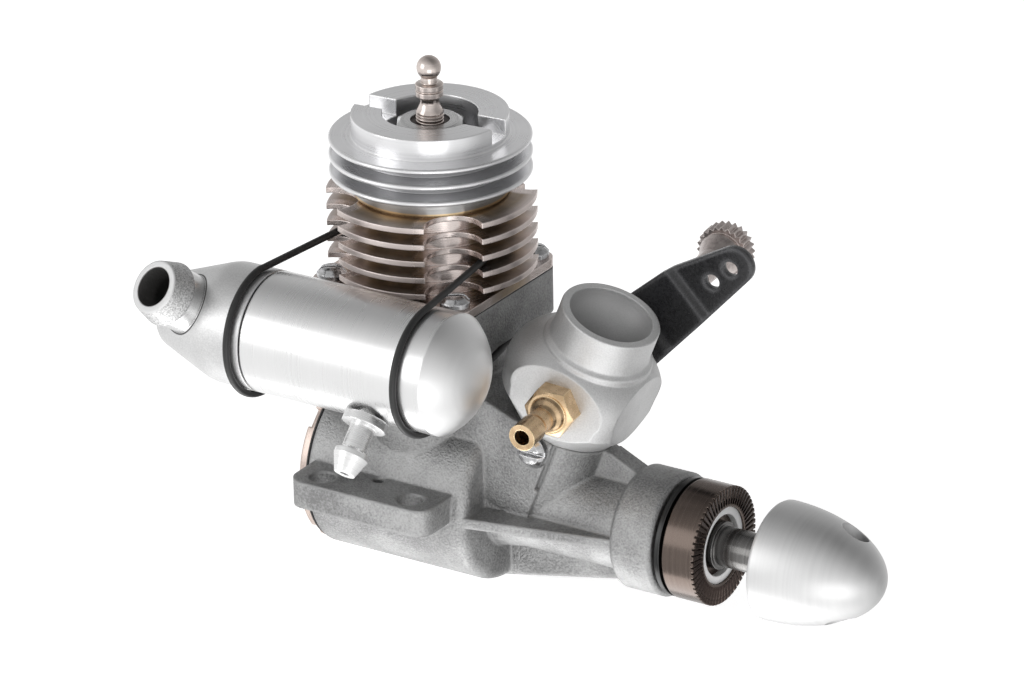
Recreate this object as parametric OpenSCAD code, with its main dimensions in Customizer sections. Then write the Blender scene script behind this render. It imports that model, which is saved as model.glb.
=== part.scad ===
// Model aircraft engine: a small two-stroke glow engine with a strap-on silencer.
// The origin is the middle of the four lug holes, on the underside of the lugs,
// level with the crankshaft. +X points to the propeller and +Z up the cylinder.

/* [Cylinder] */
// Cylinder axis ahead of the middle of the lug holes
cyl_x = 1; // [-2:0.1:4]
// Cylinder bore
bore_d = 11.5; // [9:0.1:12.5]
// Piston stroke
stroke = 9.6; // [8.4:0.1:10]
// Outside diameter of the liner below the flange
liner_d = 15.4; // [14.4:0.1:16.4]
// Height of the liner's lower end above the crankshaft axis
liner_foot_z = 13; // [11:0.1:14]
// Width of the square flange and of the case column below it
flange_w = 22.6; // [21:0.1:25]
// Radius of the flange's corners
flange_corner = 2.3; // [1:0.1:4]
// Underside of the flange above the crankshaft axis
flange_z = 26.9; // [25:0.1:30]
// Flange thickness
flange_t = 1.1; // [0.8:0.1:2]
// Diameter of the cylinder fins
fin_d = 26; // [23:0.5:30]
// Number of cylinder fins
fin_n = 5; // [3:1:5]
// Distance from one cylinder fin to the next
fin_pitch = 2.15; // [1.8:0.05:2.3]
// Thickness of a cylinder fin
fin_t = 0.7; // [0.4:0.05:1]
// Diameter of the cylinder wall between the fins
core_d = 18; // [17:0.1:19]
// Gap between the flange and the lowest fin
band_gap = 1.1; // [1.05:0.05:1.5]
// Radius of the four scallops that clear the screwdriver
scallop_r = 3.6; // [2.5:0.1:4]
// Distance of the cylinder screws from the edge of the flange
screw_edge = 2.3; // [2:0.1:3]
// Diameter of the flange screw heads
screw_head_d = 3.7; // [3:0.1:4]

/* [Head] */
// Diameter of the head fins
head_d = 25; // [22:0.5:28]
// Thickness of a head fin
head_fin_t = 0.6; // [0.4:0.05:0.8]
// Distance from one head fin to the next
head_pitch = 2.1; // [1.6:0.05:2.3]
// Top of the highest head fin above the cylinder top
head_fin_top = 7.4; // [6:0.1:9]
// Diameter of the head below its fins and of the boss above them
head_boss_d = 19.4; // [18:0.1:21]
// Height of the boss above the highest fin
boss_h = 2.7; // [1.5:0.1:4]
// Diameter of the well round the plug
well_d = 11.9; // [11:0.1:13]
// Width of the spanner slot across the boss
slot_w = 3.5; // [2.5:0.1:5]
// Width of the plug's hexagon across its flats
plug_af = 8; // [7:0.5:8]
// Diameter of the plug's thread
plug_thread_d = 6.35; // [6:0.05:6.5]
// Diameter of the ball on the plug's stud
ball_d = 3.05; // [2.5:0.05:3.5]

/* [Crankcase] */
// Outside diameter of the case barrel
case_d = 22.5; // [21:0.1:24]
// Reach of the case barrel behind the column
case_reach = 1; // [0.5:0.1:2.6]
// Front face of the case barrel ahead of the cylinder axis
case_front = 11; // [10.4:0.1:11.4]
// Diameter of the crank chamber
chamber_d = 18.6; // [18.4:0.1:19]
// Diameter of the nose tube
nose_d = 12; // [11:0.1:13]
// Rear edge of the nose ring ahead of the cylinder axis
ring_back = 29.6; // [28:0.1:30.5]
// Front face of the nose ring ahead of the cylinder axis
ring_front = 35.5; // [35.3:0.1:37]
// Diameter of the nose ring
ring_d = 15.6; // [14.6:0.1:18]
// Thickness of the ribs
rib_t = 1.3; // [0.8:0.1:2]

/* [Mounting lugs] */
// Length of a lug
lug_l = 20.2; // [18:0.5:24]
// Distance across both lugs
lug_span = 34.4; // [33:0.1:37]
// Thickness of a lug
lug_t = 3.5; // [2.5:0.1:4.5]
// Distance between the two holes of a lug
hole_dx = 13; // [11:0.1:14]
// Distance of the holes from the lug's outer edge
hole_edge = 2.7; // [2.4:0.1:3.4]
// Diameter of the lug holes
hole_d = 3.4; // [2.5:0.1:3.6]

/* [Crankshaft] */
// Diameter of the main journal
journal_d = 7; // [6.6:0.1:7.2]
// Diameter of the shaft in the front bearing
nose_shaft_d = 6; // [5.6:0.1:6.4]
// Diameter of the propeller thread
prop_d = 5; // [4:0.1:5.2]
// Shaft end ahead of the cylinder axis
shaft_end = 57.4; // [53:0.1:59]
// Diameter of the crank disc
disc_d = 17.2; // [16:0.1:17.4]
// Thickness of the crank disc
disc_t = 2.8; // [2:0.1:2.9]
// Diameter of the crankpin
pin_d = 3.4; // [3:0.1:3.6]
// Outside diameter of the rear bearing
rear_race_d = 14; // [13:0.1:14.6]
// Outside diameter of the front bearing
front_race_d = 13; // [12:0.1:13.2]
// Width of both bearings
race_w = 3.5; // [3:0.1:3.6]

/* [Propeller hub] */
// Rear face of the drive washer ahead of the cylinder axis
drive_back = 37; // [36.9:0.1:38]
// Front face of the drive washer ahead of the cylinder axis
drive_front = 41.5; // [40:0.1:43]
// Diameter of the drive washer
drive_d = 15; // [13:0.1:17]
// Number of the radial teeth on the drive washer
teeth_n = 60; // [36:4:72]
// Gap for the propeller between the drive washer and the spinner
prop_gap = 7.2; // [5:0.1:9]
// Diameter of the spinner nut
spinner_d = 15; // [13:0.1:17]
// Length of the spinner nut
spinner_l = 15; // [13:0.1:18]
// Diameter of the tommy bar hole
bar_d = 2.6; // [2:0.1:3]

/* [Rod and piston] */
// Piston crown above the crankshaft at top dead centre
crown_z = 34; // [32:0.1:34.2]
// Crown above the gudgeon pin
crown_h = 6.2; // [5.5:0.1:6.6]
// Piston length
piston_l = 10.2; // [9.4:0.1:10.8]
// Gudgeon pin diameter
gudgeon_d = 3; // [2.4:0.1:3.2]
// Thickness of the connecting rod at its ends
rod_t = 2.4; // [2:0.1:2.6]

/* [Carburettor] */
// Carburettor centre ahead of the cylinder axis
carb_x = 22; // [21.6:0.1:23]
// Carburettor centre above the crankshaft axis
carb_z = 18; // [17.6:0.1:19]
// Forward lean of the venturi
carb_lean = 22; // [16:1:24]
// Turn of the throttle barrel round the venturi
carb_turn = 6; // [0:0.5:8]
// Outside diameter of the venturi
venturi_d = 12.6; // [11.8:0.1:13]
// Diameter of the venturi's mouth
mouth_d = 10.6; // [9:0.1:10.8]
// Venturi top above the carburettor centre
venturi_h = 9.9; // [9:0.1:11]
// Diameter of the carburettor's bulb
bulb_d = 19.8; // [18.8:0.1:20.4]
// Distance across the bulb's two flats
drum_l = 15.2; // [14.4:0.1:16]
// Diameter of the throttle barrel
barrel_d = 9.6; // [9:0.1:10.4]
// Diameter of the throat
throat_d = 6.6; // [5:0.1:7]
// Diameter of the spigot in the case
spigot_d = 10; // [9:0.1:10.4]
// Distance of the throttle arm from the carburettor centre
arm_y = 10.2; // [9.6:0.1:12]
// Thickness of the throttle arm
arm_t = 1; // [0.8:0.1:1.4]
// Diameter of the two holes in the throttle arm
arm_hole_d = 2; // [1:0.1:2.2]
// Distance of the needle knob from the carburettor centre
knob_y = 39; // [34:0.1:44]
// Diameter of the needle knob
knob_d = 7.2; // [6:0.1:8]
// Fuel nipple tip from the carburettor centre
nipple_l = 16.9; // [15:0.1:19]
// Outside diameter of the fuel nipple's tube
nipple_d = 3.4; // [3:0.1:3.6]
// Bore of the fuel nipple
nipple_bore = 2; // [1:0.1:2.2]

/* [Silencer] */
// Diameter of the silencer barrel
muffler_d = 15.2; // [14:0.1:15.6]
// Gap between the silencer and the column
muffler_gap = 0.4; // [0.2:0.1:1.4]
// Silencer axis above the crankshaft axis
muffler_z = 24.2; // [23.4:0.1:24.8]
// Joint between the silencer's two halves, behind the cylinder axis
joint_back = 10.9; // [10.4:0.1:12]
// Length of the straight barrel ahead of the joint
barrel_l = 26.1; // [25.4:0.1:28]
// Pressure nipple ahead of the joint
tap_x = 17.2; // [15:0.1:20]
// Length of the domed end
dome_l = 3.8; // [2.4:0.1:5]
// Length of the rear half
rear_l = 14.6; // [13.6:0.1:16]
// Straight length of the rear half before its cone
rear_straight = 6.3; // [4:0.1:7]
// Wall of the silencer
muffler_wall = 0.8; // [0.6:0.1:1.2]
// Outlet pipe's outside diameter
outlet_d = 7.5; // [7:0.1:8]
// Outlet pipe's bore
outlet_bore = 5; // [4:0.1:5.6]
// Outlet pipe's reach from the silencer axis
outlet_l = 11.9; // [10.6:0.1:15]
// Outlet pipe's rise above level
outlet_rise = 36; // [20:1:45]
// Outlet pipe's turn towards the rear
outlet_turn = 15.4; // [0:0.1:25]
// Thickness of the rubber band
band_d = 1; // [0.8:0.05:1]

/* [Hidden] */
$fn = 64;

// Running fit between parts that turn or slide, on the radius
fit = 0.04;
// Clearance between parts that are screwed or glued together, on the radius
seat = 0.02;
// Thickness of the thin gaskets
gasket_t = 0.2;
// Gap where two moving parts pass each other
pass = 0.3;

case_back = flange_w / 2 + case_reach;
muffler_y = flange_w / 2 + muffler_gap + muffler_d / 2;
screw_pitch = flange_w / 2 - screw_edge;
hole_dy = lug_span - 2 * hole_edge;
flange_top = flange_z + flange_t;
fin1_z = flange_top + band_gap;
cyl_top = fin1_z + (fin_n - 1) * fin_pitch + fin_t;
head_z = cyl_top + gasket_t;
head_thread_d = core_d - 3.2;
head_thread_l = 4;
throw = stroke / 2;
gudgeon_z = crown_z - crown_h;
rod_l = gudgeon_z - throw;
exhaust_z = crown_z - stroke;
exhaust_h = flange_z - exhaust_z - 0.3;
disc_x = rod_t / 2 + pass + 0.2;
rear_race_x = disc_x + disc_t + 0.1;
front_race_x = ring_front - 0.5 - race_w;

// The crankshaft's axis, pointing forward from the cylinder axis
module on_crank() { translate([cyl_x, 0, 0]) rotate([90, 0, 90]) children(); }
module on_cylinder() { translate([cyl_x, 0, 0]) children(); }
module at_carb() {
    translate([cyl_x + carb_x, 0, carb_z]) rotate([0, carb_lean, 0])
        rotate([0, 0, carb_turn]) children();
}
// Turns a shape drawn along Z so that it lies along the throttle barrel's axis
module along_barrel() { rotate([-90, 0, 0]) children(); }
module on_muffler() {
    translate([cyl_x, -muffler_y, muffler_z]) rotate([90, 0, 90]) children();
}
module tube(d, bore, h) {
    difference() {
        cylinder(d = d, h = h);
        translate([0, 0, -1]) cylinder(d = bore, h = h + 2);
    }
}
module rounded_square(w, r, h) {
    translate([0, 0, h / 2]) {
        cube([w, w - 2 * r, h], center = true);
        cube([w - 2 * r, w, h], center = true);
    }
    for (x = [-1, 1], y = [-1, 1])
        translate([x * (w / 2 - r), y * (w / 2 - r), 0]) cylinder(r = r, h = h);
}
module rounded_slab(l, w, h, r) {
    translate([-l / 2 + r, -w / 2, 0]) cube([l - 2 * r, w, h]);
    translate([-l / 2, -w / 2 + r, 0]) cube([l, w - 2 * r, h]);
    for (x = [-1, 1], y = [-1, 1])
        translate([x * (l / 2 - r), y * (w / 2 - r), 0]) cylinder(r = r, h = h);
}
module at_screws() {
    on_cylinder() for (x = [-1, 1], y = [-1, 1])
        translate([x * screw_pitch, y * screw_pitch, 0]) children();
}
// A solid of revolution along the axis that is drawn as [radius, distance] pairs
module turned(points) { rotate_extrude() polygon(points); }

// Crankcase casting

case_round = 1.4;
boss_r = 6.4;
boss_top = -6.7;
neck_top = -2.9;
clamp_w = 13;
clamp_back = 14;
clamp_edge = 2.1;
clamp_z = -8.9;
lug_round = 2.2;
lug_hole_small = 1.6;
rib_y_back = 11;
rib_y_front = 6.6;
slit_w = 0.5;
pad_low = flange_z - gasket_t - 5.8;
column_r = liner_d / 2 + 1.5;

module case_outside() {
    // Barrel round the crank chamber, with a rounded front edge
    on_crank() turned([[0, -case_back], [case_d / 2 - 0.4, -case_back],
        [case_d / 2, -case_back + 0.4], [case_d / 2, case_front - case_round],
        for (a = [15:15:75]) [case_d / 2 - case_round * (1 - cos(a)),
            case_front - case_round * (1 - sin(a))],
        [case_d / 2 - case_round, case_front], [0, case_front]]);
    // Round column, with a square pad under the cylinder
    on_cylinder() cylinder(r = column_r, h = pad_low + 1);
    on_cylinder() translate([0, 0, pad_low])
        rounded_square(flange_w, flange_corner, flange_z - gasket_t - pad_low);
    // Nose tube and bearing ring
    on_crank() turned([[0, case_front - 1], [nose_d / 2 + 0.8, case_front - 1],
        [nose_d / 2, case_front + 4], [nose_d / 2, ring_back - 0.6],
        [nose_d / 2 + 0.6, ring_back], [ring_d / 2 - 0.5, ring_back],
        [ring_d / 2, ring_back + 0.6], [ring_d / 2, ring_front - 0.4],
        [ring_d / 2 - 0.4, ring_front], [0, ring_front]]);
}
module case_ribs() {
    // Side ribs from the barrel to the nose ring
    linear_extrude(height = rib_t, center = true)
        polygon([[cyl_x + case_front - case_round, -rib_y_back], [cyl_x + ring_back + 1, -rib_y_front],
            [cyl_x + ring_back + 1, rib_y_front], [cyl_x + case_front - case_round, rib_y_back]]);
    // Web under the nose
    translate([0, rib_t / 2, 0]) rotate([90, 0, 0]) linear_extrude(height = rib_t)
        polygon([[cyl_x + case_front - case_round, 0],
            [cyl_x + case_front - case_round, -case_d / 2],
            [cyl_x + ring_back + 1, -ring_d / 2 + 0.8], [cyl_x + ring_back + 1, 0]]);
    // Web on top, from the intake boss to the nose ring
    translate([0, rib_t, 0]) rotate([90, 0, 0]) linear_extrude(height = rib_t * 2)
        polygon([[cyl_x + carb_x - 2, 0], [cyl_x + carb_x - 2, 9.8],
            [cyl_x + carb_x + 3, 9.8], [cyl_x + ring_back + 0.6, ring_d / 2 - 0.4],
            [cyl_x + ring_back + 0.6, 0]]);
}
module intake_boss() {
    at_carb() translate([0, 0, -carb_z - 2])
        cylinder(r = boss_r, h = carb_z + 2 + boss_top);
    // Flat-sided block behind the socket, where the clamp screw sits
    at_socket() translate([-clamp_back, -clamp_w / 2, -carb_z - 1])
        cube([clamp_back + clamp_edge, clamp_w, carb_z + 1 + boss_top]);
}
module lugs() {
    difference() {
        rounded_slab(lug_l, lug_span, lug_t, lug_round);
        for (x = [-1, 1], y = [-1, 1])
            translate([x * hole_dx / 2, y * hole_dy / 2, -1]) cylinder(d = hole_d, h = lug_t + 2);
        for (y = [-1, 1])
            translate([0, y * (flange_w / 2 + 0.4), lug_t - 2])
                cylinder(d = lug_hole_small, h = 3);
    }
}
module exhaust_stub() {
    // Block with a hollow seat that the silencer lies in
    stub_w = 16;
    stub_out = 3.6;
    stub_low = 13.8;
    difference() {
        translate([cyl_x - stub_w / 2 + 2, -flange_w / 2 - stub_out, stub_low])
            cube([stub_w, stub_out + flange_w / 2 - 5, flange_z - gasket_t - stub_low]);
        on_muffler() cylinder(d = muffler_d + 2 * seat, h = 60, center = true);
        translate([cyl_x - stub_w / 2, -flange_w / 2 - stub_out - 1, stub_low - 1])
            rotate([45, 0, 0]) translate([0, -2, -2]) cube([stub_w + 4, 4, 4]);
    }
}
module case_inside() {
    // Crank chamber, open at the back for the cover
    on_crank() translate([0, 0, -case_back - 1])
        cylinder(d = chamber_d, h = case_back + 1 + disc_x + disc_t);
    // Bearing seats and the shaft's passage
    on_crank() {
        cylinder(d = rear_race_d, h = rear_race_x + race_w);
        cylinder(d = journal_d + 2 * fit, h = ring_front);
        translate([0, 0, front_race_x]) cylinder(d = front_race_d, h = 9);
    }
    // Seat of the liner
    on_cylinder() cylinder(d = liner_d + 2 * seat, h = flange_z + 1);
    // Transfer passage on the far side
    on_cylinder() translate([-2.2, liner_d / 2 - 1.5, 4]) cube([4.4, 2.3, flange_z - 7]);
    // Exhaust passage into the silencer
    on_cylinder() translate([-3.8, -flange_w / 2 - 8, exhaust_z])
        cube([7.6, flange_w / 2 + 2, exhaust_h]);
    // Seat for the carburettor's neck, and the intake passage to the shaft
    at_carb() {
        translate([0, 0, boss_top]) turned([[0, 0], [boss_r + 0.6, 0],
            [bulb_d / 2 + 0.4, neck_top - boss_top], [bulb_d / 2 + 0.4, 12], [0, 12]]);
        translate([0, 0, -carb_z + 1]) cylinder(d = throat_d - 1, h = carb_z);
        translate([0, 0, boss_top - spigot_l - 0.2]) cylinder(d = spigot_d + 2 * seat, h = 12);
    }
    // Groove down each side where the block meets the socket's round wall
    at_socket() for (y = [-1, 1])
        translate([clamp_edge - slit_w, y * clamp_w / 2 - 0.7, boss_top - 7]) cube([slit_w, 1.4, 9]);
    // Threaded hole and spot face of the clamp screw, along Y
    at_clamp() cylinder(d = 2.2, h = 18);
    at_clamp() translate([0, 0, clamp_w / 2 - 0.3]) cylinder(d = 4.6, h = 3);
    // Threaded holes for the flange screws
    at_screws() translate([0, 0, flange_z - 5.4]) cylinder(d = 2, h = 6);
}
// The carburettor's socket: leans with it, but isn't turned
module at_socket() {
    translate([cyl_x + carb_x, 0, carb_z]) rotate([0, carb_lean, 0]) children();
}
// Place of the clamp screw, which bears on the spigot from the side
module at_clamp() {
    at_socket() translate([-0.5, 0, clamp_z]) rotate([90, 0, 0]) children();
}
module crankcase() {
    color("darkgray") difference() {
        union() {
            case_outside();
            case_ribs();
            intake_boss();
            lugs();
            exhaust_stub();
        }
        case_inside();
    }
}

// Screwed rear cover with its notched edge, and the gasket behind the barrel

cover_flange_t = 1.2;
cover_d = case_d - 0.7;
notch_n = 8;
cover_plug_l = 5.5;

module rear_cover() {
    color("rosybrown") on_crank() difference() {
        turned([[0, -case_back - gasket_t - 0.4], [cover_d / 2 - 3, -case_back - gasket_t - 0.4],
            [cover_d / 2 - 2.6, -case_back - gasket_t - cover_flange_t],
            [cover_d / 2 - 0.3, -case_back - gasket_t - cover_flange_t],
            [cover_d / 2, -case_back - gasket_t - cover_flange_t + 0.3],
            [cover_d / 2, -case_back - gasket_t], [chamber_d / 2 - seat, -case_back - gasket_t],
            [chamber_d / 2 - seat, -case_back + cover_plug_l],
            [chamber_d / 2 - 1.4, -case_back + cover_plug_l],
            [chamber_d / 2 - 1.4, -case_back + 1.4], [0, -case_back + 1.4]]);
        for (a = [0:360 / notch_n:359])
            rotate(a) translate([cover_d / 2 - 1.1, -1.3, -case_back - 3])
                cube([4, 2.6, 2.7 - gasket_t]);
    }
}
module rear_gasket() {
    color("black") on_crank() translate([0, 0, -case_back - gasket_t])
        tube(case_d - 0.4, chamber_d + 2 * seat, gasket_t);
}

// Finned steel cylinder in one piece with its liner

module cylinder_node() {
    liner_len = flange_z - liner_foot_z;
    color("tan") on_cylinder() difference() {
        union() {
            translate([0, 0, liner_foot_z]) cylinder(d = liner_d, h = liner_len + 0.5);
            translate([0, 0, flange_z]) rounded_square(flange_w, flange_corner, flange_t);
            translate([0, 0, flange_z]) cylinder(d = core_d, h = cyl_top - flange_z);
            difference() {
                for (i = [0:fin_n - 1])
                    translate([0, 0, fin1_z + i * fin_pitch]) cylinder(d = fin_d, h = fin_t);
                for (x = [-1, 1], y = [-1, 1])
                    translate([x * screw_pitch, y * screw_pitch, fin1_z - 0.4])
                        cylinder(r = scallop_r, h = 20);
            }
        }
        translate([0, 0, liner_foot_z - 1]) cylinder(d = bore_d, h = 40);
        translate([0, 0, cyl_top - head_thread_l - 0.2])
            cylinder(d = head_thread_d, h = head_thread_l + 1);
        // Exhaust port, and the transfer port opposite
        translate([-3.6, -20, exhaust_z]) cube([7.2, 20, exhaust_h]);
        translate([-2.6, 0, exhaust_z - 1.6]) cube([5.2, 20, exhaust_h]);
        for (x = [-1, 1], y = [-1, 1])
            translate([x * screw_pitch, y * screw_pitch, flange_z - 1]) cylinder(d = 2.3, h = 3);
    }
}
module cylinder_gasket() {
    color("dimgray") on_cylinder() translate([0, 0, flange_z - gasket_t]) difference() {
        rounded_square(flange_w, flange_corner, gasket_t);
        translate([0, 0, -1]) cylinder(d = liner_d + 2 * seat, h = 3);
        for (x = [-1, 1], y = [-1, 1])
            translate([x * screw_pitch, y * screw_pitch, -1]) cylinder(d = 2.3, h = 3);
    }
}

// Four slotted screws that hold the cylinder down

screw_head_h = 1.5;

module pan_screw(head_d, head_h, shank_d, shank_l, slot) {
    difference() {
        turned([[0, -shank_l], [shank_d / 2, -shank_l], [shank_d / 2, 0], [head_d / 2, 0],
            [head_d / 2, head_h * 0.5], [head_d / 2 - head_h * 0.35, head_h * 0.9],
            [head_d / 2 - head_h * 0.7, head_h], [0, head_h]]);
        translate([-head_d, -slot / 2, head_h * 0.45]) cube([2 * head_d, slot, head_h]);
    }
}
module cylinder_screws() {
    color("silver") at_screws() translate([0, 0, flange_top]) rotate(35)
        pan_screw(screw_head_d, screw_head_h, 1.96, 6, 0.6);
}

// Screwed aluminium head with its fins, boss and spanner slot

squish_z = crown_z + 0.5;
plug_seat_z = 5.4;
slot_floor = 0.6;

module head() {
    rim = head_fin_t / 2;
    z1 = head_z - cyl_top;
    color("gainsboro") on_cylinder() difference() {
        union() {
            translate([0, 0, head_z]) cylinder(d = head_boss_d, h = head_fin_top + boss_h - z1);
            translate([0, 0, cyl_top - head_thread_l])
                cylinder(d = head_thread_d - 2 * seat, h = head_thread_l + 1);
            translate([0, 0, squish_z]) cylinder(d = bore_d - 2 * seat, h = 4);
            for (i = [0:2])
                translate([0, 0, cyl_top + head_fin_top - i * head_pitch - head_fin_t])
                    turned([[0, 0], [head_d / 2 - rim * 0.6, 0], [head_d / 2, rim * 0.6],
                        [head_d / 2, head_fin_t - rim * 0.6],
                        [head_d / 2 - rim * 0.6, head_fin_t], [0, head_fin_t]]);
        }
        // Well round the plug, the plug's hole and the bowl over the piston
        translate([0, 0, cyl_top + plug_seat_z]) cylinder(d = well_d, h = 20);
        translate([0, 0, squish_z - 1]) cylinder(d = plug_thread_d + 2 * seat, h = 20);
        translate([0, 0, squish_z - 0.01]) cylinder(d1 = bore_d - 3, d2 = 5, h = 1.8);
        // Spanner slot across the boss
        rotate(4) translate([-20, -slot_w / 2, cyl_top + head_fin_top + slot_floor])
            cube([40, slot_w, 20]);
    }
}
module head_gasket() {
    color("goldenrod") on_cylinder() translate([0, 0, cyl_top])
        tube(core_d + 0.6, head_thread_d + 2 * seat, gasket_t);
}

// Glow plug: hexagon, thread, insulator and the ball-ended stud

plug_hex_h = 3.8;
stud_d = 3.1;
neck_d = 1.95;

module glow_plug() {
    z0 = cyl_top + plug_seat_z;
    color("silver") on_cylinder() translate([0, 0, z0]) difference() {
        union() {
            intersection() {
                cylinder(d = plug_af / cos(30), h = plug_hex_h, $fn = 6);
                turned([[0, 0], [plug_af / 2 + 0.6, 0], [plug_af / 2 + 0.6, plug_hex_h - 0.6],
                    [plug_af / 2 - 0.4, plug_hex_h], [0, plug_hex_h]]);
            }
            translate([0, 0, -4.4]) cylinder(d = plug_thread_d, h = 4.5);
        }
        translate([0, 0, 1.2]) cylinder(d = 4.9, h = 9);
        translate([0, 0, -5]) cylinder(d = 2.6, h = 9);
    }
}
module plug_insulator() {
    color("saddlebrown") on_cylinder() translate([0, 0, cyl_top + plug_seat_z + 1.2])
        tube(4.9 - 2 * seat, 1.8 + 2 * seat, plug_hex_h - 1.5);
}
module plug_stud() {
    z0 = cyl_top + plug_seat_z + plug_hex_h - 0.3;
    r = stud_d / 2;
    n = neck_d / 2;
    b = ball_d / 2;
    ball_z = 7;
    bend = asin(n / b);
    color("silver") on_cylinder() translate([0, 0, z0]) turned([[0, -3.4], [0.9, -3.4],
        [0.9, 0], [r, 0], [r, 2], [r - 0.35, 2.3], [r - 0.35, 2.7], [r, 3], [r, 3.6],
        [r - 0.3, 3.75], [r - 0.3, 3.95], [r, 4.1], [r, 4.5], [n, 4.9],
        [n, ball_z - b * cos(bend)],
        for (a = [180 - bend:-12:12]) [b * sin(a), ball_z + b * cos(a)],
        [0, ball_z + b]]);
}

// Silencer in two halves, with its nipple and the rubber band that holds it

joint_x = -joint_back;
outlet_deep = 5;
front_x = joint_x + barrel_l;

module muffler_barrel() {
    r = muffler_d / 2;
    w = muffler_wall;
    dome = [for (t = [1:-0.125:0]) [r * t, front_x + dome_l * (1 - pow(t, 2.6))]];
    inner = [for (t = [0:0.25:1]) [(r - w) * t, front_x - w + dome_l * (1 - pow(t, 2.6))]];
    color("silver") difference() {
        on_muffler() turned(concat([[r, joint_x + 0.25]], dome, inner,
            [[r - w, joint_x - 2], [r - 0.3, joint_x - 2], [r - 0.3, joint_x + 0.25]]));
        // Inlet from the exhaust stub, and the pressure tapping
        translate([cyl_x - 3.8, -muffler_y, exhaust_z]) cube([7.6, 12, exhaust_h]);
        at_tapping() cylinder(d = 3, h = 20);
    }
}
module muffler_rear() {
    r = muffler_d / 2;
    w = muffler_wall;
    x0 = joint_x - rear_straight;
    x1 = joint_x - rear_l;
    tip = 4.8;
    mid = (x0 + x1) / 2;
    color("darkgray") difference() {
        union() {
            on_muffler() turned([[0, x1], [tip - 1.4, x1], [tip - 0.5, x1 + 0.2], [tip, x1 + 0.9],
                [tip + 1.7, mid], [r - 0.6, x0 - 1], [r - 0.16, x0 - 0.5], [r, x0], [r, joint_x],
                [0, joint_x]]);
            // Pipe with a collar that tapers to its open end
            at_outlet() turned([[0, 0], [outlet_d / 2, 0], [outlet_d / 2, outlet_l - 3.7],
                [outlet_d / 2 + 0.35, outlet_l - 3.4], [outlet_d / 2 - 0.3, outlet_l - 0.2],
                [outlet_d / 2 - 0.5, outlet_l], [0, outlet_l]]);
        }
        on_muffler() turned([[0, x1 + 2], [tip - w, x1 + 2], [r - w - 0.1, x0],
            [r - 1.2, joint_x - 2.2], [r - 0.28, joint_x - 2.2], [r - 0.28, joint_x + 1],
            [0, joint_x + 1]]);
        at_outlet() translate([0, 0, 1]) cylinder(d = outlet_bore - 0.8, h = outlet_l);
        at_outlet() translate([0, 0, outlet_l - outlet_deep]) cylinder(d = outlet_bore, h = 9);
    }
}
module at_outlet() {
    translate([cyl_x - 19.2, -muffler_y, muffler_z]) rotate([0, 0, -outlet_turn])
        rotate([90 - outlet_rise, 0, 0]) children();
}
module at_tapping() {
    translate([cyl_x + joint_x + tap_x, -muffler_y, muffler_z]) rotate([90 + 46, 0, 0]) children();
}
module pressure_nipple() {
    r = muffler_d / 2;
    color("silver") difference() {
        at_tapping() turned([[0, r - 0.9], [1.48, r - 0.9], [1.48, r + 0.2], [2.8, r + 0.2],
            [2.8, r + 1.3], [1.55, r + 1.4], [1.55, r + 4.4], [2.2, r + 4.8], [2.2, r + 5.4],
            [1.3, r + 7.6], [0, r + 7.6]]);
        at_tapping() cylinder(d = 1.2, h = 20);
    }
}

// The band is one closed loop. It hooks round each end of the silencer. One run passes
// behind the cylinder between two fins, and the other behind the column under its pad.

low_z = pad_low - 1.6;
high_z = fin1_z + fin_t + fin_pitch + (fin_pitch - fin_t) / 2;
bend_step = 12;
bend = cos(bend_step / 2);
hook_r = (muffler_d + band_d) / 2 / bend + 0.02;
wrap_r = (core_d + band_d) / 2 / bend + 0.02;
low_r = (2 * column_r + band_d) / 2 / bend + 0.02;
hook_back_x = -flange_w / 2 - 0.9;
hook_front_x = flange_w / 2 + 0.62;
hook_start = 92;
hook_end = 308;
wrap_start = 6;
wrap_end = 174;

function hook(x, angles) = [for (a = angles)
    [[cyl_x + x, -muffler_y + hook_r * cos(a), muffler_z + hook_r * sin(a)], [1, 0, 0]]];
function behind(r, z, angles) = [for (a = angles)
    [[cyl_x + r * cos(a), r * sin(a), z], [0, 0, 1]]];
function run(x, s) = [[[cyl_x + x, -12.6, low_z - 0.4], [1, 0, 0.3]],
    [[cyl_x + x - s * 0.3, -10, low_z], [0.6, 0, 1]],
    [[cyl_x + x - s * 0.9, -6, low_z], [0, 0, 1]]];
function flip(list) = [for (i = [len(list) - 1:-1:0]) list[i]];
function unit(v) = v / norm(v);
function ring(p, t, ref, r, n) = let (u = unit(cross(t, ref)), v = cross(u, t))
    [for (i = [0:n - 1]) p + r * (cos(i * 360 / n) * u + sin(i * 360 / n) * v)];

module closed_tube(path, r, n) {
    m = len(path);
    rings = [for (i = [0:m - 1]) ring(path[i][0],
        unit(path[(i + 1) % m][0] - path[(i + m - 1) % m][0]), path[i][1], r, n)];
    faces = [for (i = [0:m - 1], j = [0:n - 1]) let (k = (i + 1) % m, l = (j + 1) % n)
        each [[i * n + j, i * n + l, k * n + l], [i * n + j, k * n + l, k * n + j]]];
    polyhedron(points = [for (s = rings) each s], faces = faces);
}
module muffler_band() {
    loop = concat(hook(hook_back_x, [hook_start:bend_step:hook_end]), run(hook_back_x, -1),
        behind(low_r, low_z, [wrap_end:-bend_step:wrap_start]), flip(run(hook_front_x, 1)),
        hook(hook_front_x, [hook_end:-bend_step:hook_start]),
        behind(wrap_r, high_z, [wrap_start:bend_step:wrap_end]));
    color([0.1, 0.1, 0.1]) closed_tube(loop, band_d / 2, 8);
}

// Carburettor body with its drum, venturi and spigot

spigot_l = 4.2;
collar_z = 5.6;
bulb_back = 0.4;
facet_turn = 19;

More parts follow.
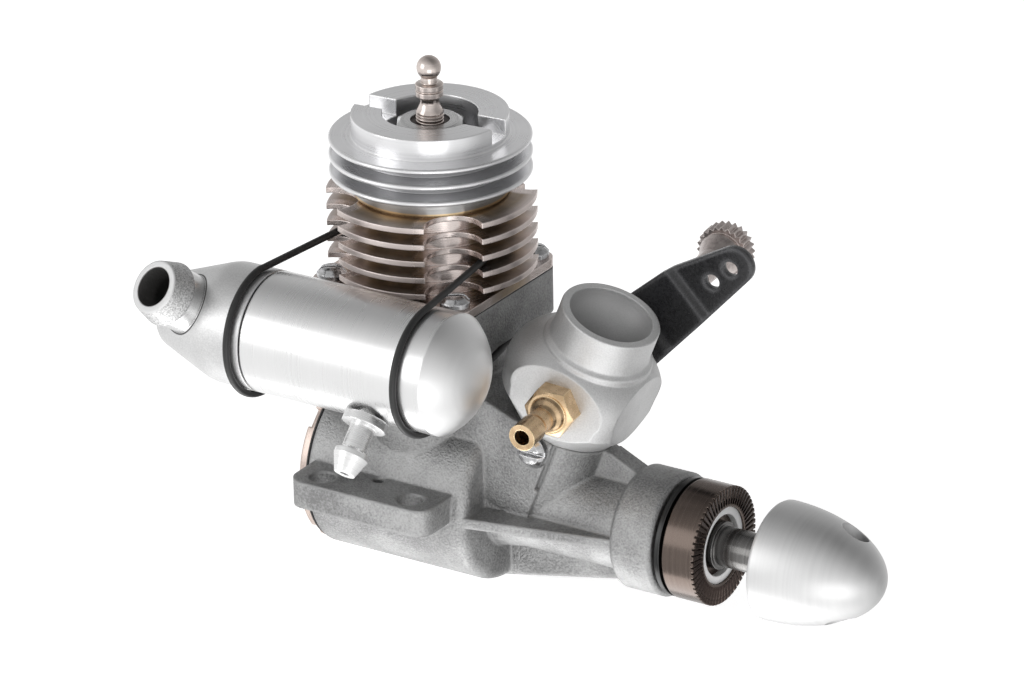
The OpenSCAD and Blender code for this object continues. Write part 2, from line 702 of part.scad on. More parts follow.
// The fuel nipple's axis, pointing out of the near flat
module at_nipple() { translate([-0.1, 0, -0.6]) rotate([90, 0, 0]) children(); }
module carburettor() {
    h = drum_l / 2;
    r = bulb_d / 2;
    top = r - 2.2;
    color("lightgray") at_carb() difference() {
        union() {
            // Round body with a flat on each side and a facet in front, on a cone
            translate([-bulb_back, 0, 0]) intersection() {
                turned([[0, boss_top], [boss_r, boss_top],
                    [r * cos(asin(-neck_top / r)), neck_top],
                    for (a = [-10:10:60]) [r * cos(a), top * sin(a)], [0, top]]);
                cube([60, drum_l, 60], center = true);
                rotate(facet_turn) translate([r - 1.8, 0, 0]) rotate([0, 28, 0])
                    translate([-60, -30, -30]) cube(60);
            }
            // Venturi with a small round ledge at its foot
            turned([[0, boss_top], [boss_r, boss_top], [boss_r, 0], [venturi_d / 2 + 0.7, 0],
                [venturi_d / 2 + 0.7, collar_z + 0.3], [venturi_d / 2 + 0.5, collar_z + 0.6],
                [venturi_d / 2 + 0.1, collar_z + 0.9], [venturi_d / 2, collar_z + 1.4],
                [venturi_d / 2, venturi_h - 0.2], [venturi_d / 2 - 0.2, venturi_h],
                [0, venturi_h]]);
            translate([0, 0, boss_top - spigot_l]) cylinder(d = spigot_d, h = spigot_l + 2);
        }
        // Bell mouth and throat
        turned([[0, -20], [throat_d / 2, -20], [throat_d / 2, 2.4],
            [throat_d / 2 + 1.3, 4.2], [mouth_d / 2, venturi_h - 3],
            [mouth_d / 2, venturi_h + 1], [0, venturi_h + 1]]);
        // Bore of the throttle barrel, with a smaller hole for the fuel nipple
        along_barrel() translate([0, 0, -h + 2]) cylinder(d = barrel_d + 2 * fit, h = drum_l);
        at_nipple() translate([0, 0, h - 3]) cylinder(d = 4 + 2 * seat, h = 4);
    }
}
module clamp_screw() {
    color("silver") at_clamp() translate([0, 0, clamp_w / 2 - 0.3])
        rotate(20) pan_screw(4, 1.5, 2.1, clamp_w / 2 - 0.3 - spigot_d / 2 - 0.1, 0.7);
}
// Brass fuel nipple on the carburettor's near side, with its jet inside the barrel
module fuel_nipple() {
    h = drum_l / 2;
    hex_h = 2.4;
    r = nipple_d / 2;
    color("goldenrod") at_carb() at_nipple() difference() {
        union() {
            translate([0, 0, h]) intersection() {
                rotate(15) cylinder(d = 5.8 / cos(30), h = hex_h, $fn = 6);
                turned([[0, 0], [3.4, 0], [3.4, hex_h - 0.5], [2.6, hex_h], [0, hex_h]]);
            }
            turned([[0, h - 2.6], [2, h - 2.6], [2, h + 0.5], [2.4, h + hex_h - 0.2],
                [2.1, h + hex_h + 0.5], [r, h + hex_h + 0.9],
                [r - 0.2, h + hex_h + 1.4], [r - 0.2, nipple_l - 3.6], [r, nipple_l - 3],
                [r, nipple_l], [0, nipple_l]]);
        }
        translate([0, 0, h - 4]) cylinder(d = nipple_bore, h = nipple_l);
    }
}

// Throttle barrel, the arm on it, and the needle assembly that it carries

barrel_in = -drum_l / 2 + 2.9;
shank_d = 5;
holder_d = 3.6;
holder_end = 31;
needle_d = 1.2;

module throttle_barrel() {
    h = drum_l / 2;
    color("dimgray") at_carb() difference() {
        union() {
            along_barrel() translate([0, 0, barrel_in]) cylinder(d = barrel_d, h = h - barrel_in);
            along_barrel() translate([0, 0, h - 1]) cylinder(d = shank_d + 2, h = arm_y - h + 1);
            along_barrel() cylinder(d = shank_d, h = arm_y + arm_t);
        }
        translate([0, 0, -20]) cylinder(d = throat_d, h = 40);
        along_barrel() translate([0, 0, h - 1.5]) cylinder(d = holder_d, h = 20);
        along_barrel() cylinder(d = needle_d + 2 * fit, h = 20);
    }
}
arm_tip = [9, 17.2];
arm_waist = [4.4, 9.4];
arm_rise = 0.5;
arm_step = 1.2;

module arm_outline() {
    hull() {
        circle(r = 4.6);
        translate(arm_waist) circle(r = 4);
    }
    hull() {
        translate(arm_waist) circle(r = 4);
        translate(arm_tip) circle(r = 2.5);
    }
}
// Draws in the plane across the throttle barrel's axis, with Z of the carburettor up
module arm_plane(y, t) {
    translate([0, y, 0]) rotate([90, 0, 180]) mirror([1, 0, 0]) linear_extrude(height = t) children();
}
// Edge-on section of the arm's sheet, which steps away from the engine at two bends
module arm_sheet() {
    near = [[-9, arm_y], [4.3, arm_y], [5.2, arm_y + arm_rise], [11.4, arm_y + arm_rise],
        [12.2, arm_y + arm_step], [30, arm_y + arm_step]];
    far = [for (i = [5:-1:0]) near[i] + [-0.3, arm_t]];
    rotate([0, -atan2(arm_tip[1], arm_tip[0]), 0]) linear_extrude(height = 30, center = true)
        polygon(concat(near, far));
}
module throttle_arm() {
    h1 = arm_tip - 0.6 * unit(arm_tip);
    h2 = h1 - 3.3 * unit(arm_tip);
    color([0.13, 0.13, 0.13]) at_carb() difference() {
        intersection() {
            arm_plane(arm_y - 1, arm_t + arm_step + 2) arm_outline();
            arm_sheet();
        }
        along_barrel() translate([0, 0, arm_y - 1]) cylinder(d = shank_d + 2 * seat, h = 5);
        for (p = [h1, h2])
            translate([p[0], arm_y - 1, p[1]]) rotate([-90, 0, 0]) cylinder(d = arm_hole_d, h = 6);
    }
}
module arm_nut() {
    color("silver") at_carb() along_barrel() translate([0, 0, arm_y + arm_t]) difference() {
        cylinder(d = 6.4 / cos(30), h = 1.8, $fn = 6);
        translate([0, 0, -1]) cylinder(d = holder_d + 2 * seat, h = 5);
    }
}
module needle_holder() {
    h = drum_l / 2;
    color("silver") at_carb() along_barrel() difference() {
        translate([0, 0, h - 1.5]) cylinder(d = holder_d - 2 * seat, h = holder_end - h + 1.5);
        cylinder(d = needle_d + 2 * fit, h = 60);
        translate([0, 0, holder_end - 9]) cylinder(d = 2.2, h = 20);
    }
}
module knurled(d, h, n, deep) {
    difference() {
        cylinder(d = d, h = h);
        for (i = [0:n - 1])
            rotate(i * 360 / n) translate([d / 2 + 0.15, 0, -1]) rotate(45)
                translate([-deep, -deep, 0]) cube([2 * deep, 2 * deep, h + 2]);
    }
}
module needle_ring() {
    color("silver") at_carb() along_barrel() translate([0, 0, holder_end - 3]) difference() {
        knurled(5.2, 1.6, 16, 0.35);
        translate([0, 0, -1]) cylinder(d = holder_d, h = 9);
    }
}
module needle() {
    tip_y = throat_d / 2 + 1.4;
    color("silver") at_carb() along_barrel() {
        translate([0, 0, tip_y]) cylinder(d1 = 0.3, d2 = needle_d, h = 3);
        translate([0, 0, tip_y + 3]) cylinder(d = needle_d, h = holder_end - 9 + 0.6 - tip_y - 3);
        translate([0, 0, holder_end - 8.4]) cylinder(d = 2.2 - 2 * fit, h = knob_y - holder_end + 9.4);
    }
}
module needle_knob() {
    rim = 2.2;
    color("gray") at_carb() along_barrel() difference() {
        union() {
            translate([0, 0, knob_y]) knurled(knob_d, rim, 24, 0.42);
            translate([0, 0, holder_end + pass]) turned([[0, 0], [1.8, 0],
                [1.9, knob_y - holder_end - 3.4], [2.9, knob_y - holder_end - 1],
                [2.7, knob_y - holder_end], [0, knob_y - holder_end]]);
        }
        translate([0, 0, holder_end]) cylinder(d = 2.2, h = knob_y - holder_end + 1.1);
    }
}

// Crankshaft with its counterweighted disc

counter_cut = 6.2;
thread_d = prop_d - 0.4;
port_x = 5.2;

module crankshaft() {
    step = front_race_x;
    color("slategray") on_crank() difference() {
        union() {
            translate([0, 0, disc_x]) cylinder(d = disc_d, h = disc_t);
            turned([[0, disc_x], [journal_d / 2, disc_x], [journal_d / 2, step],
                [nose_shaft_d / 2, step], [nose_shaft_d / 2, drive_front - 0.05],
                [prop_d / 2, drive_front - 0.05], [prop_d / 2, drive_front + prop_gap - 0.3],
                [thread_d / 2, drive_front + prop_gap - 0.3],
                [thread_d / 2, shaft_end - 0.6], [thread_d / 2 - 0.5, shaft_end],
                [0, shaft_end]]);
        }
        // Cut-outs on both sides of the pin leave the counterweight opposite
        for (s = [-1, 1])
            translate([s * (disc_d / 2 + 0.6), throw + 1.4, disc_x - 1])
                cylinder(r = counter_cut, h = disc_t + 1);
        // Hole for the pressed crankpin
        translate([0, throw, disc_x - 1]) cylinder(d = pin_d + 2 * seat, h = disc_t);
        // Gas passage down the shaft and its intake window
        translate([0, 0, disc_x - 1]) cylinder(d = 4, h = carb_x - disc_x + 3);
        translate([-2, 0, carb_x - 6 - port_x / 2]) cube([4, 5, port_x]);
    }
}
// The pin stays in the rod and stops just short of the disc, where the loop is open
module crankpin() {
    color("silver") on_crank() translate([0, throw, -rod_t / 2 - 0.2])
        cylinder(d = pin_d, h = rod_t + 0.3);
}

// Two ball bearings, each an inner and an outer race

ball_rear = 2.2;
ball_front = 2;
rear_mid = (journal_d + rear_race_d) / 4;
front_mid = (nose_shaft_d + front_race_d) / 4;

module race(bore, outer, w, mid, ball) {
    difference() {
        tube(outer, bore, w);
        translate([0, 0, w / 2]) rotate_extrude() translate([mid, 0]) circle(d = ball + 0.04, $fn = 32);
    }
}
module rear_inner_race() {
    color("silver") on_crank() translate([0, 0, rear_race_x])
        race(journal_d, 2 * rear_mid - 1.4, race_w, rear_mid, ball_rear);
}
module front_inner_race() {
    color("silver") on_crank() translate([0, 0, front_race_x])
        race(nose_shaft_d, 2 * front_mid - 1.2, race_w, front_mid, ball_front);
}
module rear_outer_race() {
    color("silver") on_crank() translate([0, 0, rear_race_x])
        race(2 * rear_mid + 1.4, rear_race_d, race_w, rear_mid, ball_rear);
}
module front_outer_race() {
    color("silver") on_crank() translate([0, 0, front_race_x])
        race(2 * front_mid + 1.2, front_race_d, race_w, front_mid, ball_front);
}
module bearing_balls() {
    color("white") on_crank() {
        for (i = [0:7])
            rotate(i * 45) translate([rear_mid, 0, rear_race_x + race_w / 2]) sphere(d = ball_rear);
        for (i = [0:7])
            rotate(i * 45) translate([front_mid, 0, front_race_x + race_w / 2]) sphere(d = ball_front);
    }
}

// Propeller drive: dust washer, toothed drive washer, collet ring and spinner nut

hub_d = 8.4;
face_r = 4.9;
tooth_deep = 0.3;
tooth_gap = 0.26;

module drive_washer() {
    color("saddlebrown") on_crank() difference() {
        turned([[nose_shaft_d / 2, front_race_x + race_w], [front_mid - 0.9, front_race_x + race_w],
            [hub_d / 2, front_race_x + race_w + 0.7], [hub_d / 2, drive_back - 0.35],
            [5.4, drive_back - 0.35], [5.4, drive_back], [drive_d / 2 - 0.2, drive_back],
            [drive_d / 2, drive_back + 0.2], [drive_d / 2, drive_front],
            [face_r, drive_front], [face_r, drive_front - 1.2],
            [nose_shaft_d / 2, drive_front - 1.2]]);
        for (i = [0:teeth_n - 1])
            rotate(i * 360 / teeth_n)
                translate([face_r + 0.3, -tooth_gap / 2, drive_front - tooth_deep])
                    cube([drive_d, tooth_gap, 1]);
    }
}
module dust_washer() {
    color("dimgray") on_crank() translate([0, 0, drive_back - 1])
        tube(drive_d - 0.1, hub_d, 0.65);
}
module collet_ring() {
    color("silver") on_crank() translate([0, 0, drive_front - 1.2]) difference() {
        cylinder(r = face_r - seat, h = 0.9);
        translate([0, 0, -1]) cylinder(r = face_r - 1, h = 3);
    }
}
module spinner_nut() {
    r = spinner_d / 2;
    x0 = drive_front + prop_gap;
    color("silver") on_crank() difference() {
        translate([0, 0, x0]) turned([[0, 0], [r - 0.7, 0], [r - 0.2, 0.2], [r, 0.7],
            for (a = [8:8:80]) [r * pow(cos(a), 0.86), 0.7 + (spinner_l - 0.7) * sin(a)],
            [0, spinner_l]]);
        translate([0, 0, x0 - 1]) cylinder(d = thread_d + 2 * seat, h = shaft_end - x0 + 1.6);
        translate([0, 0, x0 + 10.7]) rotate([0, 90, 41]) cylinder(d = bar_d, h = 40, center = true);
    }
}

// Piston, gudgeon pin and connecting rod

small_end_r = 2.5;
big_end_r = 2.7;

module piston() {
    z0 = crown_z - piston_l;
    color("silver") on_cylinder() difference() {
        translate([0, 0, z0]) cylinder(d = bore_d - 2 * fit, h = piston_l);
        translate([0, 0, z0 - 1]) cylinder(d = bore_d - 2.6, h = piston_l - 0.6);
        translate([0, 0, gudgeon_z]) rotate([0, 90, 0]) cylinder(d = gudgeon_d, h = 30, center = true);
    }
}
module gudgeon_pin() {
    color("silver") on_cylinder() translate([0, 0, gudgeon_z]) rotate([0, 90, 0])
        cylinder(d = gudgeon_d, h = bore_d - 1.2, center = true);
}
module connecting_rod() {
    color("gainsboro") translate([cyl_x + rod_t / 2, 0, 0]) rotate([0, -90, 0]) difference() {
        union() {
            translate([throw, 0, 0]) cylinder(r = big_end_r, h = rod_t);
            translate([gudgeon_z, 0, 0]) cylinder(r = small_end_r, h = rod_t);
            translate([throw, 0, rod_t * 0.2]) linear_extrude(height = rod_t * 0.6)
                polygon([[0, -1.9], [rod_l, -1.5], [rod_l, 1.5], [0, 1.9]]);
        }
        translate([throw, 0, -1]) cylinder(d = pin_d + 2 * seat, h = rod_t + 2);
        translate([gudgeon_z, 0, -1]) cylinder(d = gudgeon_d + 2 * fit, h = rod_t + 2);
    }
}

crankcase();
rear_cover();
rear_gasket();
cylinder_node();  // cylinder
cylinder_gasket();
cylinder_screws();
head();
head_gasket();
glow_plug();
plug_insulator();
plug_stud();
muffler_barrel();
muffler_rear();
pressure_nipple();
muffler_band();
carburettor();
clamp_screw();
fuel_nipple();
throttle_barrel();
throttle_arm();
arm_nut();
needle_holder();
needle_ring();
needle();
needle_knob();
crankshaft();
rear_inner_race();
front_inner_race();
rear_outer_race();
front_outer_race();
bearing_balls();
drive_washer();
dust_washer();
collet_ring();
spinner_nut();
piston();
gudgeon_pin();
connecting_rod();
crankpin();
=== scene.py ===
# Looks of a small model aircraft engine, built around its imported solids.
import math
import bpy
import bmesh
from mathutils import Matrix, Vector


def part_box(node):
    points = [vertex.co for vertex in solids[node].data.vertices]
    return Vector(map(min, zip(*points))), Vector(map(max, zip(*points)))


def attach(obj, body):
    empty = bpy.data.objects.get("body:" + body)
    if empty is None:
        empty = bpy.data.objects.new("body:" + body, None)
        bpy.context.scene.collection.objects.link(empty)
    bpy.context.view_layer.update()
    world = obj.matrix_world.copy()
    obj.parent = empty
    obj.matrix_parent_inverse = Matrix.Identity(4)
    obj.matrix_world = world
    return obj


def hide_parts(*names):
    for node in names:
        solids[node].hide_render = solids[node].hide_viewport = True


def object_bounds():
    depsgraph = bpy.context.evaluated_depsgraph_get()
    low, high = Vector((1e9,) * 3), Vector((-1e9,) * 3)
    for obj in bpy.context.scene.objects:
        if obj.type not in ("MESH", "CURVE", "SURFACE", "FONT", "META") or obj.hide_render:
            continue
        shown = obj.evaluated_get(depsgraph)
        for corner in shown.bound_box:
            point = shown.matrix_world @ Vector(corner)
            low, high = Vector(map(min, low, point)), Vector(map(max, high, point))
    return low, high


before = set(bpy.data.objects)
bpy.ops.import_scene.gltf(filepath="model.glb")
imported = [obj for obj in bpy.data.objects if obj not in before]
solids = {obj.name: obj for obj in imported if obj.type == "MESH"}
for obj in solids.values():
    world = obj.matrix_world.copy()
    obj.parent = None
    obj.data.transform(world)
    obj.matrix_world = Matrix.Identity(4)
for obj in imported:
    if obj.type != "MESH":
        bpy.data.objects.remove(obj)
solid_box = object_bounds()

# Camera
# A long lens in front of the silencer side, a little above the propeller shaft.
# It looks back and down at the engine as the photograph does.
turn, tilt, lean = math.radians(32.865), math.radians(23.606), math.radians(-1.027)
level = Vector((math.cos(turn), math.sin(turn), 0))
upright = Vector((-math.sin(turn) * math.sin(tilt), math.cos(turn) * math.sin(tilt),
                  math.cos(tilt)))
towards = level.cross(upright)
right = level * math.cos(lean) + upright * math.sin(lean)
up = upright * math.cos(lean) - level * math.sin(lean)
lens = bpy.data.cameras.new("camera")
lens.lens = 230.2
lens.sensor_width = 36
lens.clip_end = 10
camera = bpy.data.objects.new("camera", lens)
bpy.context.collection.objects.link(camera)
aim_right, aim_up, away = 0.009214, 0.016447, 0.8168
view = Matrix((right, up, towards)).transposed().to_4x4()
view.translation = right * aim_right + up * aim_up + towards * away + Vector((0.001, 0, 0))
camera.matrix_world = view
bpy.context.scene.camera = camera

# Crankcase casting
# One aluminium die casting, shot blasted to a coarse matt grain all over.
# Its edges and inner corners are a little rounded, as a mould leaves them.


def finish(name, colour, metallic, roughness):
    made = bpy.data.materials.new(name)
    made.use_nodes = True
    surface = made.node_tree.nodes["Principled BSDF"]
    surface.inputs["Base Color"].default_value = (*colour, 1)
    surface.inputs["Metallic"].default_value = metallic
    surface.inputs["Roughness"].default_value = roughness
    return made, made.node_tree.nodes, made.node_tree.links, surface


def place(nodes, links, centre=(0, 0, 0), swing=(0, 0, 0)):
    where = nodes.new("ShaderNodeTexCoord")
    moved = nodes.new("ShaderNodeMapping")
    moved.vector_type = "TEXTURE"
    moved.inputs["Location"].default_value = centre
    moved.inputs["Rotation"].default_value = [math.radians(a) for a in swing]
    links.new(where.outputs["Object"], moved.inputs["Vector"])
    return moved.outputs["Vector"]


def sum_of(nodes, links, first, second, how="ADD"):
    worked = nodes.new("ShaderNodeMath")
    worked.operation = how
    for value, socket in zip((first, second), worked.inputs):
        if isinstance(value, (int, float)):
            socket.default_value = value
        else:
            links.new(value, socket)
    return worked.outputs[0]


def mottle(nodes, links, where, scale, detail=3):
    cloud = nodes.new("ShaderNodeTexNoise")
    cloud.inputs["Scale"].default_value = scale
    cloud.inputs["Detail"].default_value = detail
    links.new(where, cloud.inputs["Vector"])
    return cloud.outputs["Fac"]


def spread(nodes, links, value, low, high, start=0.3, end=0.7):
    ramp = nodes.new("ShaderNodeMapRange")
    ramp.inputs["From Min"].default_value = start
    ramp.inputs["From Max"].default_value = end
    ramp.inputs["To Min"].default_value = low
    ramp.inputs["To Max"].default_value = high
    links.new(value, ramp.inputs["Value"])
    return ramp.outputs["Result"]


def tint(nodes, links, value, first, second):
    ramp = nodes.new("ShaderNodeMix")
    ramp.data_type = "RGBA"
    for colour, socket in ((first, ramp.inputs[6]), (second, ramp.inputs[7])):
        if isinstance(colour, tuple):
            socket.default_value = (*colour, 1)
        else:
            links.new(colour, socket)
    links.new(value, ramp.inputs[0])
    return ramp.outputs[2]


def rounded_edge(nodes, radius):
    soft = nodes.new("ShaderNodeBevel")
    soft.samples = 6
    soft.inputs["Radius"].default_value = radius
    return soft.outputs["Normal"]


# Mask of rounded edges and inner corners. The edge tone it carries is partly wear and partly
# painted highlight, and painted shade where the amount is negative.
def edge_wear_and_light_mask(nodes, links, soft):
    flat = nodes.new("ShaderNodeNewGeometry")
    match = nodes.new("ShaderNodeVectorMath")
    match.operation = "DOT_PRODUCT"
    links.new(soft, match.inputs[0])
    links.new(flat.outputs["Normal"], match.inputs[1])
    return spread(nodes, links, match.outputs["Value"], 0, 1, 0.99, 0.86)


def relief(nodes, links, surface, height, depth, strength, soft=None):
    bump = nodes.new("ShaderNodeBump")
    bump.inputs["Distance"].default_value = depth
    bump.inputs["Strength"].default_value = strength
    links.new(height, bump.inputs["Height"])
    if soft:
        links.new(soft, bump.inputs["Normal"])
    links.new(bump.outputs["Normal"], surface.inputs["Normal"])


def grained(name, light, dark, roughness, grain, depth, strength, edge=0.0003, metallic=1,
            edge_wear_and_light=0.35):
    made, nodes, links, surface = finish(name, light, metallic, roughness)
    where = place(nodes, links)
    cloud = mottle(nodes, links, where, 140)
    pits = mottle(nodes, links, where, grain, 4)
    mixed = sum_of(nodes, links, cloud, pits)
    shade = tint(nodes, links, spread(nodes, links, mixed, 0, 1, 0.75, 1.25), dark, light)
    soft = rounded_edge(nodes, edge)
    # Edges and inner corners are painted lighter, partly as wear and partly as painted highlight;
    # a negative amount paints them darker as painted shade.
    bright = tuple(min(1, c * (1 + edge_wear_and_light) + 0.02 * edge_wear_and_light) for c in light)
    links.new(tint(nodes, links, edge_wear_and_light_mask(nodes, links, soft), shade, bright),
              surface.inputs["Base Color"])
    links.new(spread(nodes, links, pits, roughness - 0.08, roughness + 0.08),
              surface.inputs["Roughness"])
    relief(nodes, links, surface, pits, depth, strength, soft)
    return made


def dress(made, *names):
    for name in names:
        solids[name].data.materials.clear()
        solids[name].data.materials.append(made)


def joined(name, shape):
    mesh = bpy.data.meshes.new(name)
    shape.to_mesh(mesh)
    shape.free()
    piece = bpy.data.objects.new(name, mesh)
    bpy.context.collection.objects.link(piece)
    return piece


def creased(piece, made, crease):
    shape = bmesh.new()
    shape.from_mesh(piece.data)
    for face in shape.faces:
        face.smooth = True
    for side in shape.edges:
        side.smooth = side.calc_face_angle(math.pi) < math.radians(crease)
    shape.to_mesh(piece.data)
    shape.free()
    piece.data.materials.clear()
    piece.data.materials.append(made)


def stand_in(piece, node, body):
    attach(piece, body)
    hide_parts(node)


def smoothed(name, made, body, crease=28):
    shape = bmesh.new()
    shape.from_mesh(solids[name].data)
    bmesh.ops.remove_doubles(shape, verts=shape.verts, dist=0.000002)
    piece = joined(name + "_piece", shape)
    if "custom_normal" in piece.data.attributes:
        piece.data.attributes.remove(piece.data.attributes["custom_normal"])
    creased(piece, made, crease)
    stand_in(piece, name, body)


# The casting's edges and inner corners are painted darker, as painted shade.
cast = grained("cast_aluminium", (0.50, 0.50, 0.50), (0.24, 0.24, 0.24), 0.55, 3800, 0.00012, 0.9,
               0.0007, edge_wear_and_light=-0.22)
smoothed("crankcase", cast, "case")

# Rear cover and its gasket
# The cover is turned, tinted a pale champagne and screwed into the case.
# A thin black paper ring seals it, and another lies under the cylinder.
dress(grained("champagne_cover", (0.62, 0.52, 0.47), (0.46, 0.38, 0.34), 0.34, 3000, 0.00004, 0.4),
      "rear_cover")
dress(grained("gasket_paper", (0.05, 0.05, 0.05), (0.02, 0.02, 0.02), 0.7, 4000, 0.00003, 0.5,
              0.00005, metallic=0), "rear_gasket", "cylinder_gasket")

# Finned cylinder
# Turned from one bar of steel, with fins, flange and liner in one piece.
# The rims and the scallops by the screws are bright, and heat and oil have left the gaps brown.


def off_axis(nodes, links, where, axis):
    split = nodes.new("ShaderNodeSeparateXYZ")
    links.new(where, split.inputs["Vector"])
    first, second = [split.outputs[letter] for letter in "XYZ" if letter != axis]
    total = sum_of(nodes, links, sum_of(nodes, links, first, first, "MULTIPLY"),
                   sum_of(nodes, links, second, second, "MULTIPLY"))
    return sum_of(nodes, links, total, 0.5, "POWER"), split.outputs[axis]


def lathe_lines(nodes, links, radius, along, fineness):
    lines = nodes.new("ShaderNodeTexNoise")
    lines.noise_dimensions = "1D"
    lines.inputs["Scale"].default_value = fineness
    lines.inputs["Detail"].default_value = 3
    lines.inputs["Roughness"].default_value = 0.7
    links.new(sum_of(nodes, links, radius, along), lines.inputs["W"])
    return lines.outputs["Fac"]


def grooved(nodes, links, surface, where, axis, amount):
    round_it = nodes.new("ShaderNodeVectorMath")
    round_it.operation = "CROSS_PRODUCT"
    round_it.inputs[0].default_value = [float(letter == axis) for letter in "XYZ"]
    links.new(where, round_it.inputs[1])
    links.new(round_it.outputs["Vector"], surface.inputs["Tangent"])
    surface.inputs["Anisotropic"].default_value = amount
    surface.inputs["Anisotropic Rotation"].default_value = 0.25


def turned(name, light, dark, roughness, axis, centre, edge=0.0002, depth=0.00002, strength=0.3,
           fineness=2600, amount=0.5, stain=220, edge_wear_and_light=0.1, mask=None, swing=(0, 0, 0), metallic=1):
    made, nodes, links, surface = finish(name, light, metallic, roughness)
    where = place(nodes, links, centre, swing)
    radius, along = off_axis(nodes, links, where, axis)
    lines = lathe_lines(nodes, links, radius, along, fineness)
    cloud = mottle(nodes, links, where, stain, 4)
    mixed = sum_of(nodes, links, cloud, lines)
    shade = tint(nodes, links, spread(nodes, links, mixed, 0, 1, 0.7, 1.3), dark, light)
    soft = rounded_edge(nodes, edge)
    # Edges are painted lighter, partly as wear and partly as painted highlight.
    bright = tuple(min(1, c * (1 + edge_wear_and_light)) for c in light)
    shade = tint(nodes, links, edge_wear_and_light_mask(nodes, links, soft), shade, bright)
    dull = spread(nodes, links, mixed, roughness - 0.05, roughness + 0.07, 0.7, 1.3)
    if mask:
        shade, dull = mask(nodes, links, where, radius, along, shade, dull)
    links.new(shade, surface.inputs["Base Color"])
    links.new(dull, surface.inputs["Roughness"])
    relief(nodes, links, surface, lines, depth, strength, soft)
    grooved(nodes, links, surface, where, axis, amount)
    return made


barrel_axis = (0.001, 0, 0)
fin_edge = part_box("cylinder")[1][0] - barrel_axis[0]
screw_head_r = 0.00185
screw_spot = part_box("cylinder_screws")[1][1] - screw_head_r


def brown_gaps(nodes, links, where, radius, along, shade, dull):
    inner = spread(nodes, links, radius, 1, 0, fin_edge - 0.0016, fin_edge - 0.0002)
    quarter = nodes.new("ShaderNodeVectorMath")
    quarter.operation = "ABSOLUTE"
    links.new(where, quarter.inputs[0])
    reach = nodes.new("ShaderNodeVectorMath")
    reach.operation = "DISTANCE"
    reach.inputs[1].default_value = (screw_spot, screw_spot, 0)
    flat = nodes.new("ShaderNodeVectorMath")
    flat.operation = "MULTIPLY"
    flat.inputs[1].default_value = (1, 1, 0)
    links.new(quarter.outputs[0], flat.inputs[0])
    links.new(flat.outputs[0], reach.inputs[0])
    milled = spread(nodes, links, reach.outputs["Value"], 0, 1, 0.0047, 0.0053)
    inner = sum_of(nodes, links, inner, milled, "MULTIPLY")
    dull = sum_of(nodes, links, dull, spread(nodes, links, milled, -0.1, 0, 0, 1))
    cloud = mottle(nodes, links, where, 420, 4)
    burnt = tint(nodes, links, spread(nodes, links, cloud, 0, 1, 0.35, 0.65),
                 (0.40, 0.31, 0.22), (0.27, 0.22, 0.18))
    return tint(nodes, links, inner, shade, burnt), dull


dress(turned("cylinder_steel", (0.74, 0.66, 0.63), (0.56, 0.49, 0.46), 0.34, "Z", barrel_axis,
             depth=0.00003, edge_wear_and_light=0.25, mask=brown_gaps), "cylinder")

# Cylinder screws
# Four plated cheese-head screws hold the flange down, and a fifth clamps the carburettor.
# Their edges, the slots' among them, are painted lighter, partly as wear and partly as painted
# highlight.
dress(grained("zinc_steel", (0.72, 0.72, 0.74), (0.42, 0.42, 0.42), 0.2, 1300, 0.00008, 0.5),
      "cylinder_screws", "clamp_screw", "arm_nut")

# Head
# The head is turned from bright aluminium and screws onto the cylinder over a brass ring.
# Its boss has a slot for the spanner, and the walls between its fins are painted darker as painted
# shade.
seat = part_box("head_gasket")[1][2]
head_wall_r, head_rim_r = 0.0104, 0.0122
top_fin, skirt_high, ring_high = seat + 0.0067, seat + 0.0022, seat + 0.000325


def dark_skirt(nodes, links, where, radius, along, shade, dull):
    # Painted shade on the walls between the fins. The skirt below the fins is painted a darker
    # grey, with a thin brass-coloured ring at its foot.
    fin_gap_shade = sum_of(nodes, links, spread(nodes, links, radius, 1, 0, head_wall_r, head_rim_r),
                 spread(nodes, links, along, 1, 0, top_fin - 0.0001, top_fin + 0.0001),
                 "MULTIPLY")
    shade = tint(nodes, links, fin_gap_shade, shade, (0.50, 0.50, 0.51))
    skirt = spread(nodes, links, along, 1, 0, skirt_high - 0.0006, skirt_high + 0.0006)
    shade = tint(nodes, links, skirt, shade, (0.36, 0.355, 0.35))
    ring = spread(nodes, links, along, 1, 0, ring_high - 0.000025, ring_high + 0.000025)
    return tint(nodes, links, ring, shade, (0.60, 0.45, 0.27)), dull


dress(turned("turned_aluminium", (0.90, 0.90, 0.91), (0.78, 0.78, 0.79), 0.3, "Z", barrel_axis,
             edge=0.0003, depth=0.00001, strength=0.2, edge_wear_and_light=0.15, mask=dark_skirt), "head")
dress(grained("brass", (0.82, 0.60, 0.38), (0.50, 0.35, 0.20), 0.27, 900, 0.00003, 0.3, 0.0002),
      "head_gasket", "fuel_nipple")

# Glow plug
# A plated steel body with a fibre seal, and a stud with a ball that takes the battery clip.
# A fine thread runs round the foot of the stud.
stud_steel = turned("stud_steel", (0.78, 0.70, 0.66), (0.50, 0.44, 0.41), 0.17, "Z", barrel_axis,
                    edge=0.00015, edge_wear_and_light=0.2, fineness=1800, amount=0.3)
dress(turned("plug_plating", (0.66, 0.66, 0.66), (0.50, 0.50, 0.50), 0.26, "Z", barrel_axis),
      "glow_plug")
dress(grained("phenolic", (0.05, 0.03, 0.02), (0.02, 0.012, 0.01), 0.5, 2500, 0.00003, 0.4,
              0.0001, metallic=0), "plug_insulator")


